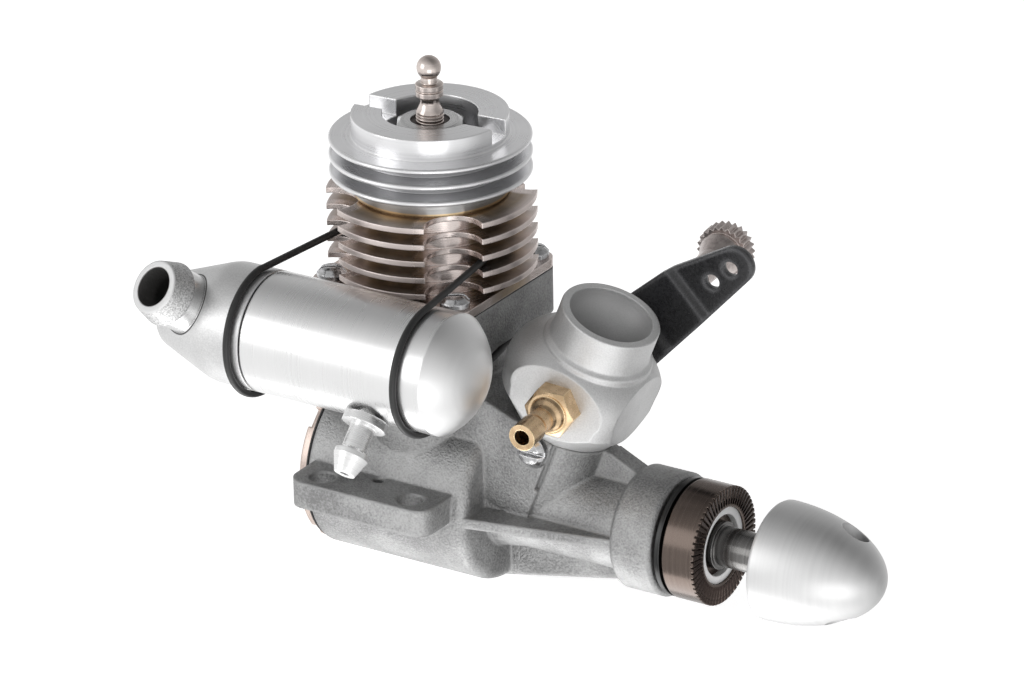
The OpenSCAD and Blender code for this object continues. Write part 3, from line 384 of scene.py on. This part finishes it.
def lathe(name, points, placing, steps=128):
    shape = bmesh.new()
    for s in range(steps):
        a, b = 2 * math.pi * s / steps, 2 * math.pi * (s + 1) / steps
        for (r1, z1), (r2, z2) in zip(points, points[1:]):
            loop = [(r * math.cos(c), r * math.sin(c), z)
                    for r, z, c in ((r1, z1, a), (r1, z1, b), (r2, z2, b), (r2, z2, a))]
            shape.faces.new([shape.verts.new(p) for p in loop])
    bmesh.ops.remove_doubles(shape, verts=shape.verts, dist=0.0000005)
    bmesh.ops.dissolve_degenerate(shape, edges=shape.edges, dist=0.0000001)
    bmesh.ops.transform(shape, matrix=placing, verts=shape.verts)
    bmesh.ops.recalc_face_normals(shape, faces=shape.faces)
    return joined(name, shape)


def carved(name, blank, steps):
    for cutter, how in steps:
        cut = blank.modifiers.new(cutter.name, "BOOLEAN")
        cut.object = cutter
        cut.operation = how
        cut.solver = "EXACT"
    ready = blank.evaluated_get(bpy.context.evaluated_depsgraph_get())
    piece = bpy.data.objects.new(name, bpy.data.meshes.new_from_object(ready))
    for spare in [blank] + [cutter for cutter, how in steps]:
        bpy.data.objects.remove(spare)
    bpy.context.collection.objects.link(piece)
    return piece


stud_low, stud_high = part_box("plug_stud")
ball, thread_foot = 0.001525, 0.0026
ball_up = stud_high[2] - stud_low[2] - ball
stud_line = [(0, 0), (0.0009, 0), (0.0009, 0.0024), (0.00160, 0.0025), (0.00160, 0.0045),
             (0.00171, 0.0046), (0.00168, 0.0049), (0.00140, 0.0053), (0.00120, 0.0058),
             (0.00116, 0.0062), (0.00124, 0.0065), (0.00150, 0.0067), (0.00168, 0.0068),
             (0.00170, 0.0074), (0.00150, 0.0075), (0.00150, 0.0076), (0.00170, 0.0077),
             (0.00172, 0.0083), (0.00160, 0.0084), (0.00102, 0.0085)]
stud_line += [(ball * math.sin(math.radians(a)), ball_up - ball * math.cos(math.radians(a)))
              for a in range(42, 180, 6)] + [(0, ball_up + ball)]
stud = lathe("stud_body", stud_line, Matrix.Translation((barrel_axis[0], 0, stud_low[2])), 96)
creased(stud, stud_steel, 35)
stand_in(stud, "plug_stud", "case")


def growth(name, sizes):
    group = bpy.data.node_groups.new(name, "GeometryNodeTree")
    group.interface.new_socket("Geometry", in_out="INPUT", socket_type="NodeSocketGeometry")
    for label, size in sizes.items():
        kind = "NodeSocketInt" if isinstance(size, int) else "NodeSocketFloat"
        group.interface.new_socket(label, in_out="INPUT", socket_type=kind).default_value = size
    group.interface.new_socket("Geometry", in_out="OUTPUT", socket_type="NodeSocketGeometry")
    return group, group.nodes, group.links, group.nodes.new("NodeGroupInput")


def harvest(group, last, made):
    nodes, links = group.nodes, group.links
    real = nodes.new("GeometryNodeRealizeInstances")
    coat = nodes.new("GeometryNodeSetMaterial")
    leave = nodes.new("NodeGroupOutput")
    coat.inputs["Material"].default_value = made
    links.new(last, real.inputs["Geometry"])
    links.new(real.outputs["Geometry"], coat.inputs["Geometry"])
    links.new(coat.outputs["Geometry"], leave.inputs["Geometry"])


def grow(name, seed_mesh, group, sizes, body):
    carrier = bpy.data.objects.new(name + "_carrier", seed_mesh)
    bpy.context.collection.objects.link(carrier)
    steps = carrier.modifiers.new(name, "NODES")
    steps.node_group = group
    for socket in group.interface.items_tree:
        if socket.in_out == "INPUT" and socket.name in sizes:
            steps[socket.identifier] = sizes[socket.name]
    ready = carrier.evaluated_get(bpy.context.evaluated_depsgraph_get())
    piece = bpy.data.objects.new(name, bpy.data.meshes.new_from_object(ready))
    carrier.modifiers.remove(steps)
    bpy.data.objects.remove(carrier)
    bpy.context.collection.objects.link(piece)
    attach(piece, body)
    return piece


thread = {"Radius": 0.00160, "Pitch": 0.00042, "Turns": 4.6, "Ridge": 0.00015,
          "Foot": stud_low[2] + thread_foot}
group, nodes, links, given = growth("thread_ridge", thread)
helix = nodes.new("GeometryNodeCurveSpiral")
helix.inputs["Resolution"].default_value = 40
links.new(given.outputs["Turns"], helix.inputs["Rotations"])
links.new(given.outputs["Radius"], helix.inputs["Start Radius"])
links.new(given.outputs["Radius"], helix.inputs["End Radius"])
rise = nodes.new("ShaderNodeMath")
rise.operation = "MULTIPLY"
links.new(given.outputs["Turns"], rise.inputs[0])
links.new(given.outputs["Pitch"], rise.inputs[1])
links.new(rise.outputs[0], helix.inputs["Height"])
ridge = nodes.new("GeometryNodeCurvePrimitiveCircle")
ridge.inputs["Resolution"].default_value = 6
links.new(given.outputs["Ridge"], ridge.inputs["Radius"])
swept = nodes.new("GeometryNodeCurveToMesh")
swept.inputs["Fill Caps"].default_value = True
links.new(helix.outputs["Curve"], swept.inputs["Curve"])
links.new(ridge.outputs["Curve"], swept.inputs["Profile Curve"])
lift = nodes.new("ShaderNodeCombineXYZ")
lift.inputs["X"].default_value = barrel_axis[0]
links.new(given.outputs["Foot"], lift.inputs["Z"])
moved = nodes.new("GeometryNodeTransform")
links.new(swept.outputs["Mesh"], moved.inputs["Geometry"])
links.new(lift.outputs["Vector"], moved.inputs["Translation"])
harvest(group, moved.outputs["Geometry"], stud_steel)
grow("stud_thread", bpy.data.meshes.new("blank"), group, thread, "case")

# Silencer
# The front half is turned aluminium with a domed end. The rear half is a blasted cone with a
# pipe pressed in, whose collar is rough. The nipple underneath gives pressure to the tank.
can_low, can_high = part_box("muffler_barrel")
can_r = (can_high[2] - can_low[2]) / 2
can_axis = (0, (can_low[1] + can_high[1]) / 2, (can_low[2] + can_high[2]) / 2)
can_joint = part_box("muffler_rear")[1][0]
dome_start = can_high[0] - 0.0038
tap_from_joint, outlet_from_joint = 0.0172, 0.0083


def can_zones(nodes, links, where, radius, along, shade, dull):
    # Painted shade: the groove where the two halves of the silencer meet is painted near black.
    skirt = spread(nodes, links, along, 1, 0, can_joint + 0.00022, can_joint + 0.00026)
    shade = tint(nodes, links, skirt, shade, (0.03, 0.03, 0.03))
    dome = spread(nodes, links, along, 0, 0.14, dome_start, dome_start + 0.0012)
    return shade, sum_of(nodes, links, dull, dome)


can_skin = turned("silencer_barrel", (0.83, 0.83, 0.83), (0.80, 0.80, 0.80), 0.29, "X",
                  can_axis, edge=0.0003, depth=0.00001, strength=0.005, amount=0.25, stain=120,
                  mask=can_zones)
smoothed("muffler_barrel", can_skin, "case", 35)
tap_foot = (can_joint + tap_from_joint, can_axis[1], can_axis[2])
dress(turned("nipple_aluminium", (0.92, 0.92, 0.92), (0.82, 0.82, 0.82), 0.28, "Z", tap_foot,
             strength=0.15, amount=0.2, swing=(136, 0, 0)), "pressure_nipple")


def band_between(nodes, links, value, low, high, soft=0.00005):
    rise = spread(nodes, links, value, 0, 1, low - soft, low + soft)
    fall = spread(nodes, links, value, 1, 0, high - soft, high + soft)
    return sum_of(nodes, links, rise, fall, "MULTIPLY")


outlet_foot = (can_joint - outlet_from_joint, can_axis[1], can_axis[2])
rear_r, outlet_rise, outlet_turn = 0.0076, 54, -15.4
pipe_r, pipe_bore_r, collar_from, pipe_long = 0.00375, 0.0025, 0.00875, 0.0119
made, nodes, links, surface = finish("blasted_aluminium", (0.72, 0.72, 0.72), 1, 0.42)
where = place(nodes, links)
pits = mottle(nodes, links, where, 5200, 4)
cloud = mottle(nodes, links, where, 150)
pipe_way = place(nodes, links, outlet_foot, (outlet_rise, 0, outlet_turn))
radius, along = off_axis(nodes, links, pipe_way, "Z")
collar = spread(nodes, links, along, 0, 1, collar_from, collar_from + 0.0001)
root = sum_of(nodes, links, band_between(nodes, links, radius, 0.0032, pipe_r + 0.00004),
              band_between(nodes, links, along, 0.003, collar_from + 0.00005), "MULTIPLY")
soot = sum_of(nodes, links, band_between(nodes, links, radius, -0.01, pipe_bore_r + 0.00006),
              spread(nodes, links, along, 0, 1, 0.0012, 0.0014), "MULTIPLY")
# Painted shadow: a thin near-black line on the cone where the pipe enters it.
junction_shade = sum_of(nodes, links,
              band_between(nodes, links, radius, pipe_r + 0.00004, pipe_r + 0.00021),
              band_between(nodes, links, along, 0.001, 0.0083), "MULTIPLY")
mixed = sum_of(nodes, links, pits, cloud)
shade = tint(nodes, links, spread(nodes, links, mixed, 0, 1, 0.75, 1.25),
             (0.62, 0.62, 0.62), (0.78, 0.78, 0.78))
rough = tint(nodes, links, spread(nodes, links, pits, 0, 1, 0.35, 0.6),
             (0.36, 0.36, 0.36), (0.70, 0.70, 0.70))
shade = tint(nodes, links, collar, shade, rough)
shade = tint(nodes, links, junction_shade, shade, (0.05, 0.05, 0.05))
mouth_face = spread(nodes, links, along, 0, 1, pipe_long - 0.00018, pipe_long - 0.0001)
shade = tint(nodes, links, mouth_face, shade, (0.74, 0.74, 0.74))
shade = tint(nodes, links, soot, shade, (0.30, 0.295, 0.29))
links.new(shade, surface.inputs["Base Color"])
dull = spread(nodes, links, root, 0.42, 0.24, 0, 1)
links.new(sum_of(nodes, links, dull, spread(nodes, links, collar, 0, 0.1, 0, 1)),
          surface.inputs["Roughness"])
depth = sum_of(nodes, links, pits, spread(nodes, links, root, 1, 0.1, 0, 1), "MULTIPLY")
relief(nodes, links, surface, depth, 0.00006, 0.5, rounded_edge(nodes, 0.0003))
along_x = Matrix.Rotation(math.pi / 2, 4, "Y")
can_end = Matrix.Translation((can_joint, can_axis[1], can_axis[2])) @ along_x
outlet_way = (Matrix.Translation(outlet_foot)
              @ Matrix.Rotation(math.radians(outlet_turn), 4, "Z")
              @ Matrix.Rotation(math.radians(outlet_rise), 4, "X"))
cone = lathe("rear_cone", [(0, -0.0146), (0.0034, -0.0146), (0.0039, -0.01455), (0.0043, -0.0144),
                           (0.0046, -0.0141), (0.0048, -0.0137), (0.00725, -0.0070),
                           (0.0074, -0.0065), (0.00752, -0.0060), (rear_r, -0.0054),
                           (rear_r, 0), (0, 0)], can_end)
spout = lathe("outlet", [(0, 0), (pipe_r, 0), (pipe_r, collar_from), (0.00385, 0.00881),
                         (0.00402, 0.0089), (0.0041, 0.0091), (0.00345, 0.0116),
                         (0.00338, 0.0118), (0.00325, pipe_long), (0, pipe_long)],
              outlet_way, 96)
hollow = lathe("hollow", [(0, -0.0126), (0.0039, -0.0126), (0.0062, -0.0070), (0.0064, -0.0022),
                          (0.00732, -0.0022), (0.00732, 0.001), (0, 0.001)], can_end, 96)
throat = lathe("throat", [(0, 0.001), (0.0021, 0.001), (0.0021, 0.0069),
                          (pipe_bore_r, 0.0071), (pipe_bore_r, 0.0125), (0, 0.0125)],
               outlet_way, 96)
rear = carved("silencer_rear", cone, [(spout, "UNION"), (hollow, "DIFFERENCE"),
                                      (throat, "DIFFERENCE")])
creased(rear, made, 24)
stand_in(rear, "muffler_rear", "case")

# Carburettor
# A blasted aluminium casting with a bored mouth, clamped in the crankcase.
# The bulb has a flat on each side and in front, and a small ledge under the mouth.
carb_spot = (0.023, 0, 0.018)
carb_lean, carb_turn = 22, 6
carb_place = (Matrix.Translation(carb_spot) @ Matrix.Rotation(math.radians(carb_lean), 4, "Y")
              @ Matrix.Rotation(math.radians(carb_turn), 4, "Z"))
mouth_r, mouth_top, horn_r, drum_r = 0.0053, 0.0099, 0.0063, 0.00484
made, nodes, links, surface = finish("carburettor_body", (0.8, 0.8, 0.8), 0.9, 0.5)
where = place(nodes, links)
pits = mottle(nodes, links, where, 5200, 4)
cloud = mottle(nodes, links, where, 160)
mixed = sum_of(nodes, links, pits, cloud)
shade = tint(nodes, links, spread(nodes, links, mixed, 0, 1, 0.75, 1.25),
             (0.60, 0.60, 0.60), (0.76, 0.76, 0.76))
radius, along = off_axis(nodes, links, place(nodes, links, carb_spot, (0, carb_lean, 0)), "Z")
# Painted shade inside the bored mouth, darker the deeper it goes.
mouth_inside = sum_of(nodes, links, band_between(nodes, links, radius, -0.01, mouth_r - 0.00003),
                spread(nodes, links, along, 0, 1, 0.0046, 0.0047), "MULTIPLY")
mouth_shade = tint(nodes, links, spread(nodes, links, along, 0, 1, 0.0050, mouth_top - 0.0001),
            (0.27, 0.27, 0.27), (0.64, 0.64, 0.64))
shade = tint(nodes, links, mouth_inside, shade, mouth_shade)
links.new(shade, surface.inputs["Base Color"])
links.new(spread(nodes, links, pits, 0.46, 0.6), surface.inputs["Roughness"])
relief(nodes, links, surface, pits, 0.00006, 0.5, rounded_edge(nodes, 0.0003))


def slab(name, low, high, placing):
    shape = bmesh.new()
    bmesh.ops.create_cube(shape, size=1)
    middle = [(a + b) / 2 for a, b in zip(low, high)]
    size = [b - a for a, b in zip(low, high)]
    fitted = placing @ Matrix.Translation(middle) @ Matrix.Diagonal((*size, 1))
    bmesh.ops.transform(shape, matrix=fitted, verts=shape.verts)
    return joined(name, shape)


bulb, bulb_top, foot, neck = 0.0099, 0.0063, -0.0067, 0.0064
side_flat, front_flat, ledge = 0.0076, 0.0079, 0.0049
far = 0.03
bulb_line = [(0, foot), (neck, foot), (0.00947, -0.0029)]
bulb_line += [(bulb * math.cos(math.radians(a)), bulb_top * math.sin(math.radians(a)))
              for a in range(-12, 90, 4)] + [(0, bulb_top)]
bulb_place = carb_place @ Matrix.Translation((-0.0004, 0, 0))
blank = lathe("bulb_blank", bulb_line, bulb_place)
flats = slab("bulb_flats", (-far, -side_flat, -far), (far, side_flat, far), bulb_place)
facet = slab("bulb_facet", (-2 * far, -far, -far), (0, far, far),
             bulb_place @ Matrix.Rotation(math.radians(-2), 4, "Z")
             @ Matrix.Translation((front_flat, 0, 0))
             @ Matrix.Rotation(math.radians(-2), 4, "Y"))
bulb_piece = carved("bulb_cut", blank, [(flats, "INTERSECT"), (facet, "INTERSECT")])
horn = lathe("horn", [(0, -0.0109), (0.005, -0.0109), (0.005, foot + 0.0001),
                      (neck - 0.0001, foot + 0.0001), (neck - 0.0001, 0), (0.007, 0),
                      (0.007, ledge), (0.0069, ledge + 0.0002), (0.0066, ledge + 0.0004),
                      (0.0064, ledge + 0.0006), (horn_r, ledge + 0.0011), (horn_r, 0.0097),
                      (0.00625, 0.00982), (0.0061, mouth_top), (0, mouth_top)], carb_place)
mouth = lathe("mouth", [(0, -0.02), (0.0033, -0.02), (0.0033, 0.0040), (0.0018, 0.0047),
                        (0.0024, 0.0051), (0.0033, 0.0058), (0.0041, 0.0067),
                        (0.0048, 0.0078), (0.0052, 0.0088), (mouth_r, 0.0096),
                        (mouth_r, 0.0110), (0, 0.0110)], carb_place)
drum = lathe("drum", [(0, -0.0056), (drum_r, -0.0056), (drum_r, 0.0096), (0, 0.0096)],
             carb_place @ Matrix.Rotation(math.radians(-90), 4, "X"))
jet = lathe("jet", [(0, 0.0046), (0.00202, 0.0046), (0.00202, 0.0086), (0, 0.0086)],
            carb_place @ Matrix.Translation((-0.0001, 0, -0.0006))
            @ Matrix.Rotation(math.pi / 2, 4, "X"))
body = carved("carburettor_shell", bulb_piece, [(horn, "UNION"), (mouth, "DIFFERENCE"),
                                                (drum, "DIFFERENCE"), (jet, "DIFFERENCE")])
creased(body, made, 16)
stand_in(body, "carburettor", "case")
dress(grained("barrel_aluminium", (0.72, 0.72, 0.72), (0.6, 0.6, 0.6), 0.4, 5000, 0.00003, 0.3),
      "throttle_barrel")
dress(turned("holder_steel", (0.50, 0.49, 0.48), (0.36, 0.35, 0.34), 0.3, "Y", carb_spot,
             amount=0), "needle_holder", "needle")

# Throttle arm
# Pressed from sheet steel, chemically blackened and lightly oiled.
# It is clamped on the throttle barrel by a nut and steps outwards at its bends.
# Its edges and bends are painted much lighter, as painted highlight.
dress(grained("black_steel", (0.022, 0.022, 0.024), (0.010, 0.010, 0.011), 0.28, 2300, 0.00005,
              0.7, 0.0011, metallic=0.1, edge_wear_and_light=2.2), "throttle_arm")

# Needle knob
# Turned steel with a coarse straight knurl to grip between two fingers.
# A ring with the same teeth sits on the needle's holder.
dress(grained("knob_steel", (0.68, 0.61, 0.585), (0.42, 0.37, 0.355), 0.28, 1500, 0.00004, 0.4,
              0.00015), "needle_knob", "needle_ring")

# Crankshaft, bearings and piston
# Ground and hardened steel, seen only where the shaft passes the propeller's place.
# The piston is cast iron and the connecting rod is cut from aluminium.
shaft_axis = (0, 0, 0)
steel = turned("bearing_steel", (0.24, 0.235, 0.23), (0.13, 0.127, 0.124), 0.25, "X", shaft_axis,
               depth=0.00001, strength=0.15)
dress(steel, "crankshaft", "rear_inner_race", "front_inner_race", "rear_outer_race",
      "front_outer_race", "bearing_balls", "gudgeon_pin", "crankpin")
dress(turned("piston_iron", (0.25, 0.24, 0.23), (0.18, 0.17, 0.16), 0.35, "Z", barrel_axis),
      "piston")
dress(grained("rod_aluminium", (0.7, 0.7, 0.7), (0.55, 0.55, 0.55), 0.35, 2600, 0.00003, 0.4),
      "connecting_rod")

# Drive washer
# Turned aluminium, anodised dark bronze, with radial saw teeth that bite into the propeller.
# A thin dark washer runs behind it, and a bright split ring lies in its face.
washer_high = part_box("drive_washer")[1]
bronze = turned("bronze_anodised", (0.135, 0.108, 0.094), (0.10, 0.078, 0.068), 0.24, "X",
                shaft_axis, depth=0.00001, strength=0.15, edge_wear_and_light=0.3)
dress(bronze, "drive_washer")
tooth_bronze = turned("tooth_bronze", (0.10, 0.075, 0.066), (0.05, 0.037, 0.033), 0.3, "X",
                      shaft_axis, edge=0.00008, edge_wear_and_light=0.3)
dress(turned("dark_steel", (0.07, 0.07, 0.07), (0.03, 0.03, 0.03), 0.32, "X", shaft_axis),
      "dust_washer")
dress(turned("collet_aluminium", (0.95, 0.95, 0.95), (0.86, 0.86, 0.86), 0.5, "X", shaft_axis,
             metallic=0, strength=0.1), "collet_ring")
tooth_in, tooth_out, tooth_high = 0.0052, washer_high[1] - 0.0001, 0.0001
tooth_start, tooth_end = math.radians(1.3), math.radians(4.75)
face = washer_high[0]
corners = [(face + rise, reach * math.cos(a), reach * math.sin(a))
           for a, peak in ((tooth_start, 0.00001), (tooth_end, tooth_high))
           for reach in (tooth_in, tooth_out) for rise in (-0.0001, peak)]
tooth = bpy.data.meshes.new("tooth")
tooth.from_pydata(corners, [], [(0, 1, 3, 2), (4, 6, 7, 5), (0, 4, 5, 1), (2, 3, 7, 6),
                                (1, 5, 7, 3), (0, 2, 6, 4)])
teeth = {"Teeth": 60}
group, nodes, links, given = growth("ring_of_teeth", teeth)
centres = nodes.new("GeometryNodePoints")
links.new(given.outputs["Teeth"], centres.inputs["Count"])
number = nodes.new("GeometryNodeInputIndex")
step = nodes.new("ShaderNodeMath")
step.operation = "DIVIDE"
step.inputs[0].default_value = 2 * math.pi
links.new(given.outputs["Teeth"], step.inputs[1])
angle = nodes.new("ShaderNodeMath")
angle.operation = "MULTIPLY"
links.new(number.outputs["Index"], angle.inputs[0])
links.new(step.outputs[0], angle.inputs[1])
spin = nodes.new("ShaderNodeCombineXYZ")
links.new(angle.outputs[0], spin.inputs["X"])
repeat = nodes.new("GeometryNodeInstanceOnPoints")
links.new(centres.outputs["Points"], repeat.inputs["Points"])
links.new(given.outputs["Geometry"], repeat.inputs["Instance"])
links.new(spin.outputs["Vector"], repeat.inputs["Rotation"])
harvest(group, repeat.outputs["Instances"], tooth_bronze)
grow("washer_teeth", tooth, group, teeth, "crank")

# Spinner nut
# Turned from bright aluminium, with a cross hole for a tommy bar.
# It screws onto the end of the shaft and holds the propeller.
nut_low, nut_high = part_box("spinner_nut")
nut_r, nut_long = (nut_high[2] - nut_low[2]) / 2, nut_high[0] - nut_low[0]
rim, nose = 0.0007, 0.98
bar_r, bar_at, bar_turn, thread_r = 0.0018, 0.0101, 70, 0.00232
profile = [(0, 0), (nut_r - rim, 0), (nut_r - 0.0005, 0.00003), (nut_r - 0.0002, 0.0002),
           (nut_r - 0.00003, 0.0005)]
profile += [(nut_r * math.cos(math.radians(a)) ** nose,
             rim + (nut_long - rim) * math.sin(math.radians(a))) for a in range(0, 88, 2)]
profile.append((0, nut_long))
blank = lathe("spinner_blank", profile, Matrix.Translation((nut_low[0], 0, 0)) @ along_x)
drill = lathe("tommy_bar", [(0, -0.02), (bar_r, -0.02), (bar_r, 0.02), (0, 0.02)],
              Matrix.Translation((nut_low[0] + bar_at, 0, 0))
              @ Matrix.Rotation(math.radians(bar_turn - 90), 4, "X"), 64)
tap = lathe("thread_bore", [(0, -0.001), (thread_r, -0.001), (thread_r, 0.0088), (0, 0.0098)],
            Matrix.Translation((nut_low[0], 0, 0)) @ along_x, 64)
spinner = carved("spinner_body", blank, [(drill, "DIFFERENCE"), (tap, "DIFFERENCE")])
spinner_skin = turned("spinner_aluminium", (0.71, 0.71, 0.71), (0.65, 0.65, 0.65), 0.44, "X",
                      shaft_axis, depth=0.00001, strength=0.05, stain=160, amount=0.25)
creased(spinner, spinner_skin, 28)
stand_in(spinner, "spinner_nut", "spinner")

# Rubber band
# One loop of round black rubber, hooked over both ends of the silencer.
# One run passes behind the cylinder between two fins, the other behind the case's column.
rubber = grained("black_rubber", (0.022, 0.022, 0.022), (0.012, 0.012, 0.012), 0.45, 2500,
                 0.00002, 0.4, 0.0001, metallic=0, edge_wear_and_light=0)
thick = 0.00044
hook = can_r + thick + 0.00004
back_x, front_x = -0.0122 + barrel_axis[0], 0.01192 + barrel_axis[0]
upper_run, lower_run = 0.032675, 0.0193
wrap_up, wrap_low = 0.00957, 0.00977


def bow(x, angles):
    return [(x, can_axis[1] + hook * math.cos(math.radians(a)),
             can_axis[2] + hook * math.sin(math.radians(a))) for a in angles]


def wrap(reach, z, angles):
    return [(barrel_axis[0] + reach * math.cos(math.radians(a)),
             reach * math.sin(math.radians(a)), z) for a in angles]


def drop(x, inward):
    return [(x, -0.0126, lower_run - 0.0004), (x + inward * 0.0003, -0.01, lower_run),
            (x + inward * 0.0009, -0.006, lower_run)]


def straight(start, end):
    return [tuple(a + (b - a) * part for a, b in zip(start, end))
            for part in (0.06, 0.3, 0.7, 0.94)]


back_bow, front_bow = bow(back_x, range(94, 309, 12)), bow(front_x, range(308, 91, -12))
low_wrap = wrap(wrap_low, lower_run, range(174, 5, -12))
high_wrap = wrap(wrap_up, upper_run, range(6, 175, 12))
path = (back_bow + drop(back_x, 1) + low_wrap + drop(front_x, -1)[::-1] + front_bow
        + straight(front_bow[-1], high_wrap[0]) + high_wrap
        + straight(high_wrap[-1], back_bow[0]))
spine = bpy.data.meshes.new("band_path")
spine.from_pydata(path, [(i, (i + 1) % len(path)) for i in range(len(path))], [])
band = {"Thickness": thick}
group, nodes, links, given = growth("band_sweep", band)
line = nodes.new("GeometryNodeMeshToCurve")
links.new(given.outputs["Geometry"], line.inputs["Mesh"])
smooth = nodes.new("GeometryNodeCurveSplineType")
smooth.spline_type = "CATMULL_ROM"
links.new(line.outputs["Curve"], smooth.inputs["Curve"])
section = nodes.new("GeometryNodeCurvePrimitiveCircle")
section.inputs["Resolution"].default_value = 20
links.new(given.outputs["Thickness"], section.inputs["Radius"])
swept = nodes.new("GeometryNodeCurveToMesh")
links.new(smooth.outputs["Curve"], swept.inputs["Curve"])
links.new(section.outputs["Curve"], swept.inputs["Profile Curve"])
soft = nodes.new("GeometryNodeSetShadeSmooth")
links.new(swept.outputs["Mesh"], soft.inputs["Geometry"])
harvest(group, soft.outputs["Geometry"], rubber)
muffler_loop = grow("silencer_band", spine, group, band, "case")
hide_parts("muffler_band")

# Table and studio
# A plain white sheet under the engine, lit through from below, as product tables are.
# Soft boxes stand front left, front right and underneath, and the room gives the rest.
sheet = bpy.data.meshes.new("table")
half = 3.0
low = solid_box[0][2] - 0.0002
sheet.from_pydata([(-half, -half, low), (half, -half, low), (half, half, low),
                   (-half, half, low)], [], [(0, 1, 2, 3)])
table = bpy.data.objects.new("table", sheet)
bpy.context.collection.objects.link(table)
white, nodes, links, surface = finish("table_white", (0.93, 0.93, 0.93), 0, 0.8)
surface.inputs["Emission Color"].default_value = (1, 1, 1, 1)
surface.inputs["Emission Strength"].default_value = 0.7
table.data.materials.append(white)
table.visible_diffuse = table.visible_glossy = table.visible_shadow = False


def softbox(name, at, aim, size, power):
    lamp = bpy.data.lights.new(name, "AREA")
    lamp.shape = "RECTANGLE"
    lamp.size, lamp.size_y = size
    lamp.energy = power
    body = bpy.data.objects.new(name, lamp)
    bpy.context.collection.objects.link(body)
    body.location = at
    body.visible_camera = False
    body.rotation_euler = (Vector(aim) - Vector(at)).to_track_quat("-Z", "Y").to_euler()


softbox("front_left_box", (-0.45, -0.7, 0.3), (0.01, 0, 0.02), (0.5, 0.5), 1.2)
softbox("under_box", (0.02, -0.08, -0.4), (0.01, 0, 0.02), (0.4, 0.4), 0.25)
softbox("front_right_box", (0.28, -0.36, -0.14), (0.035, 0, 0.01), (0.3, 0.3), 0.35)
softbox("case_box", (-0.02, -0.04, -0.13), (0, -0.01, 0), (0.1, 0.1), 0.07)

sky = bpy.data.worlds.new("studio")
bpy.context.scene.world = sky
sky.use_nodes = True
nodes, links = sky.node_tree.nodes, sky.node_tree.links
facing = nodes.new("ShaderNodeTexCoord").outputs["Generated"]


def glow(way, start, end, amount):
    match = nodes.new("ShaderNodeVectorMath")
    match.operation = "DOT_PRODUCT"
    match.inputs[1].default_value = Vector(way).normalized()
    links.new(facing, match.inputs[0])
    return spread(nodes, links, match.outputs["Value"], 0, amount, start, end)


room, brightest = 0.52, 1.0
ceiling = glow((0, 0, 1), 0.0, 0.85, -0.3)
front = glow((-0.25, -0.85, -0.3), -0.45, 0.35, 0.5)
ground = sum_of(nodes, links, glow((0, 0, -1), -0.03, 0.05, 1),
                glow((-0.77, -0.64, 0), -0.9, -0.1, 0.5), "MULTIPLY")
back = glow((-0.5, 0.77, 0.1), 0.3, 0.9, 0.15)
total = sum_of(nodes, links, ceiling, room)
for part in (front, ground, back):
    total = sum_of(nodes, links, total, part)
total = sum_of(nodes, links, total, brightest, "MINIMUM")
nodes["Background"].inputs["Color"].default_value = (1, 1, 1, 1)
links.new(total, nodes["Background"].inputs["Strength"])
bpy.context.scene.view_settings.view_transform = "Standard"
